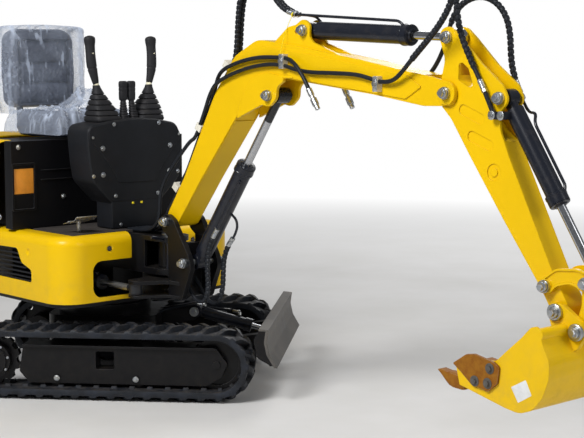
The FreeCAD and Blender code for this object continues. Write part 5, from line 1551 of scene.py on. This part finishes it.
# Outlines of the console's shell and of the shield on it, (y, z, radius)
CONSOLE_HEAD = [(-.242, 1.100, .042), (-.124, 1.117, .200), (.016, 1.128, .300), (.111, 1.120, .200),
                (.208, 1.102, .050), (.238, 1.042, .060), (.234, .925, .060), (.222, .872, .050),
                (.125, .780, .006), (-.127, .780, .006), (-.218, .872, .050), (-.232, .945, .090),
                (-.240, 1.025, .090)]
CONSOLE_SHIELD = [(-.236, 1.094, .038), (-.124, 1.112, .200), (.016, 1.123, .300), (.111, 1.115, .200),
                  (.203, 1.097, .046), (.232, 1.044, .020), (.168, .972, .060), (.112, .899, .040),
                  (.096, .861, .014), (-.091, .863, .014), (-.109, .899, .040), (-.163, .972, .060),
                  (-.233, 1.048, .020)]
# Bolts on both halves of the console: (y, z, size across flats, x of the face)
CONSOLE_BOLTS = ((.218, 1.053, .011, .2410), (.171, 1.008, .014, .2450), (.114, 1.104, .011, .2450),
                 (.215, .896, .011, .2405), (.168, .900, .014, .2410), (.108, .810, .011, .2410))


class EXCAVATOR_OT_console(bpy.types.Operator):
    """Makes the console's moulded shell, its raised shield, the pedestal and their bolts"""

    bl_idname = "excavator.console"
    bl_label = "Console"

    def execute(self, context):
        head = slab(arc_outline(CONSOLE_HEAD, 7), 0.090, 0.2410, in_yz, 0.0080, 5)
        shield = slab(arc_outline(CONSOLE_SHIELD, 7), 0.2350, 0.2450, in_yz, 0.0022, 4)
        foot = slab(arc_outline([(-.127, .674, .006), (.123, .674, .006), (.125, .800, .006), (-.127, .800, .006)], 4),
                    0.130, 0.2405, in_yz, 0.0030, 3)
        shell = make("console_shell", [head, shield, foot], "black_plastic", "upper", sharp=40)
        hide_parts("console")
        parts = bolt((.2405, -.083, .690), (1, 0, 0), .010, 0.78)
        for side in SIDES:
            for y, z, across, x in CONSOLE_BOLTS:
                parts += bolt((x, side * y, z), (1, 0, 0), across, 0.78)
            parts += [(s, "tie_yellow") for s in bolt((.2405, side * .022, .776), (1, 0, 0), .0095, 0)]
        make("console_bolts", parts, "zinc_steel", "upper")
        return {"FINISHED"}


class EXCAVATOR_OT_body_details(bpy.types.Operator):
    """Makes the bolts of the covers, and the blank label and ledges of the seat box"""

    bl_idname = "excavator.body_details"
    bl_label = "Body details"

    def execute(self, context):
        parts = []
        for side in SIDES:
            parts += [(s, "engine_iron") for s in bolt((0.3402, side * 0.213, 0.611), (1, 0, 0), 0.013, 0.9)]
            skirt = [(x, side * 0.444, z) for x, z in ((-.110, .720), (-.110, .985), (-.330, .700))]
            seat_box = [(-0.0200, side * y, z) for y, z in ((.404, 1.010), (.191, .796))]
            parts += bolts(skirt, (0, side, 0), 0.012) + bolts(seat_box, (1, 0, 0), 0.011)
        parts += bolt((0.460, 0.0, 0.668), (0, 0, 1), 0.026, 0)
        make("cover_bolts", parts, "zinc_steel", "upper")
        label = slab(rectangle(-.435, -.334, .818, .921, .004, 4), -0.0205, -0.0190, in_yz, 0.0004, 2)
        make("blank_label", [label], "label_orange", "upper")
        ledges = [slab(rectangle(-.300, .300, z, z + .004, .001, 2), -0.0210, -0.0150, in_yz, 0.0008, 2)
                  for z in (.870, .909)]
        make("seat_box_ledges", ledges, "black_paint", "upper")
        return {"FINISHED"}


# Swing bracket and bucket


class EXCAVATOR_OT_hose_guard(bpy.types.Operator):
    """Makes the bent round bar that keeps the hoses over the swing bracket"""

    bl_idname = "excavator.hose_guard"
    bl_label = "Hose guard"

    def execute(self, context):
        route = [(.500, -.123, .663), (.501, -.077, .658), (.502, -.050, .650), (.503, -.040, .626),
                 (.503, -.040, .590), (.504, -.042, .545), (.504, -.044, .501)]
        make("hose_guard", [tube(spline_line(route), 0.0068, 16, .004, ALONG_X)], "cylinder_black", "swing_bracket")
        return {"FINISHED"}


# Where the bucket's teeth stand across it, and the x of their roots
TOOTH_YS = (-.170, -.057, .057, .170)
TOOTH_ROOT = 2.198


class EXCAVATOR_OT_bucket_details(bpy.types.Operator):
    """Makes the bucket's teeth, the bolts of its side cutters and the blank sticker on its side"""

    bl_idname = "excavator.bucket_details"
    bl_label = "Bucket details"

    def execute(self, context):
        x = np.array([.000, .003, .012, .045, .060, .072, .098, .1045, .1070])
        low = np.array([.350, .3488, .3480, .3500, .3540, .3620, .3900, .3968, .3990])
        high = np.array([.386, .3890, .3925, .3975, .3985, .3985, .4000, .4005, .4000])
        half = np.array([.0180, .0200, .0205, .0200, .0180, .0165, .0190, .0200, .0190])
        teeth = [stacked(y, (low + high) / 2, TOOTH_ROOT - x, half, (high - low) / 2, 7.0, 32, in_yz) for y in TOOTH_YS]
        piece = make("tooth_set", teeth, "tooth_orange", "bucket", sharp=40)
        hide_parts("bucket_teeth")
        parts = []
        for side in SIDES:
            places = [(x, side * 0.200, z) for x, z in ((2.311, .438), (2.252, .390), (2.303, .391))]
            parts += bolts(places, (0, side, 0), 0.017)
        make("cutter_bolts", parts, "worn_steel", "bucket")
        corners = [(2.388, .393, .003), (2.443, .424, .003), (2.4665, .380, .003), (2.416, .3495, .003)]
        sticker = slab(arc_outline(corners, 4), -0.1926, -0.1915, in_xz, 0.0003, 2)
        make("blank_sticker", [sticker], "sticker_white", "bucket")
        return {"FINISHED"}


OPERATORS = (
    EXCAVATOR_OT_finishes,
    EXCAVATOR_OT_camera,
    EXCAVATOR_OT_free_hoses,
    EXCAVATOR_OT_tracks,
    EXCAVATOR_OT_running_gear,
    EXCAVATOR_OT_blade_details,
    EXCAVATOR_OT_pin_ends,
    EXCAVATOR_OT_boom_hoses,
    EXCAVATOR_OT_foot_hoses,
    EXCAVATOR_OT_arm_hoses,
    EXCAVATOR_OT_boom_cylinder_hoses,
    EXCAVATOR_OT_clamp_straps,
    EXCAVATOR_OT_cylinder_fittings,
    EXCAVATOR_OT_seat,
    EXCAVATOR_OT_seat_film,
    EXCAVATOR_OT_joysticks,
    EXCAVATOR_OT_travel_levers,
    EXCAVATOR_OT_console,
    EXCAVATOR_OT_body_details,
    EXCAVATOR_OT_hose_guard,
    EXCAVATOR_OT_bucket_details,
    EXCAVATOR_OT_stage,
)


class EXCAVATOR_PT_panel(bpy.types.Panel):
    """Lists the settings and the pieces in the sidebar"""

    bl_idname = "EXCAVATOR_PT_panel"
    bl_label = "Excavator"
    bl_space_type = "VIEW_3D"
    bl_region_type = "UI"
    bl_category = "Excavator"

    def draw(self, context):
        for group in (context.scene.excavator_paint, context.scene.excavator_sizes, context.scene.excavator_stage):
            box = self.layout.box()
            for key in group.__annotations__:
                box.prop(group, key)
        for operator in OPERATORS:
            self.layout.operator(operator.bl_idname)


GROUPS = {"excavator_paint": ExcavatorPaint, "excavator_sizes": ExcavatorSizes, "excavator_stage": ExcavatorStage}


def register():
    for cls in (*GROUPS.values(), *OPERATORS, EXCAVATOR_PT_panel):
        bpy.utils.register_class(cls)
    for name, group in GROUPS.items():
        setattr(bpy.types.Scene, name, bpy.props.PointerProperty(type=group))


def unregister():
    for name in GROUPS:
        delattr(bpy.types.Scene, name)
    for cls in (EXCAVATOR_PT_panel, *reversed(OPERATORS), *GROUPS.values()):
        bpy.utils.unregister_class(cls)


def main():
    register()
    for operator in OPERATORS:
        group, name = operator.bl_idname.split(".")
        getattr(getattr(bpy.ops, group), name)()


if __name__ == "__main__":
    main()
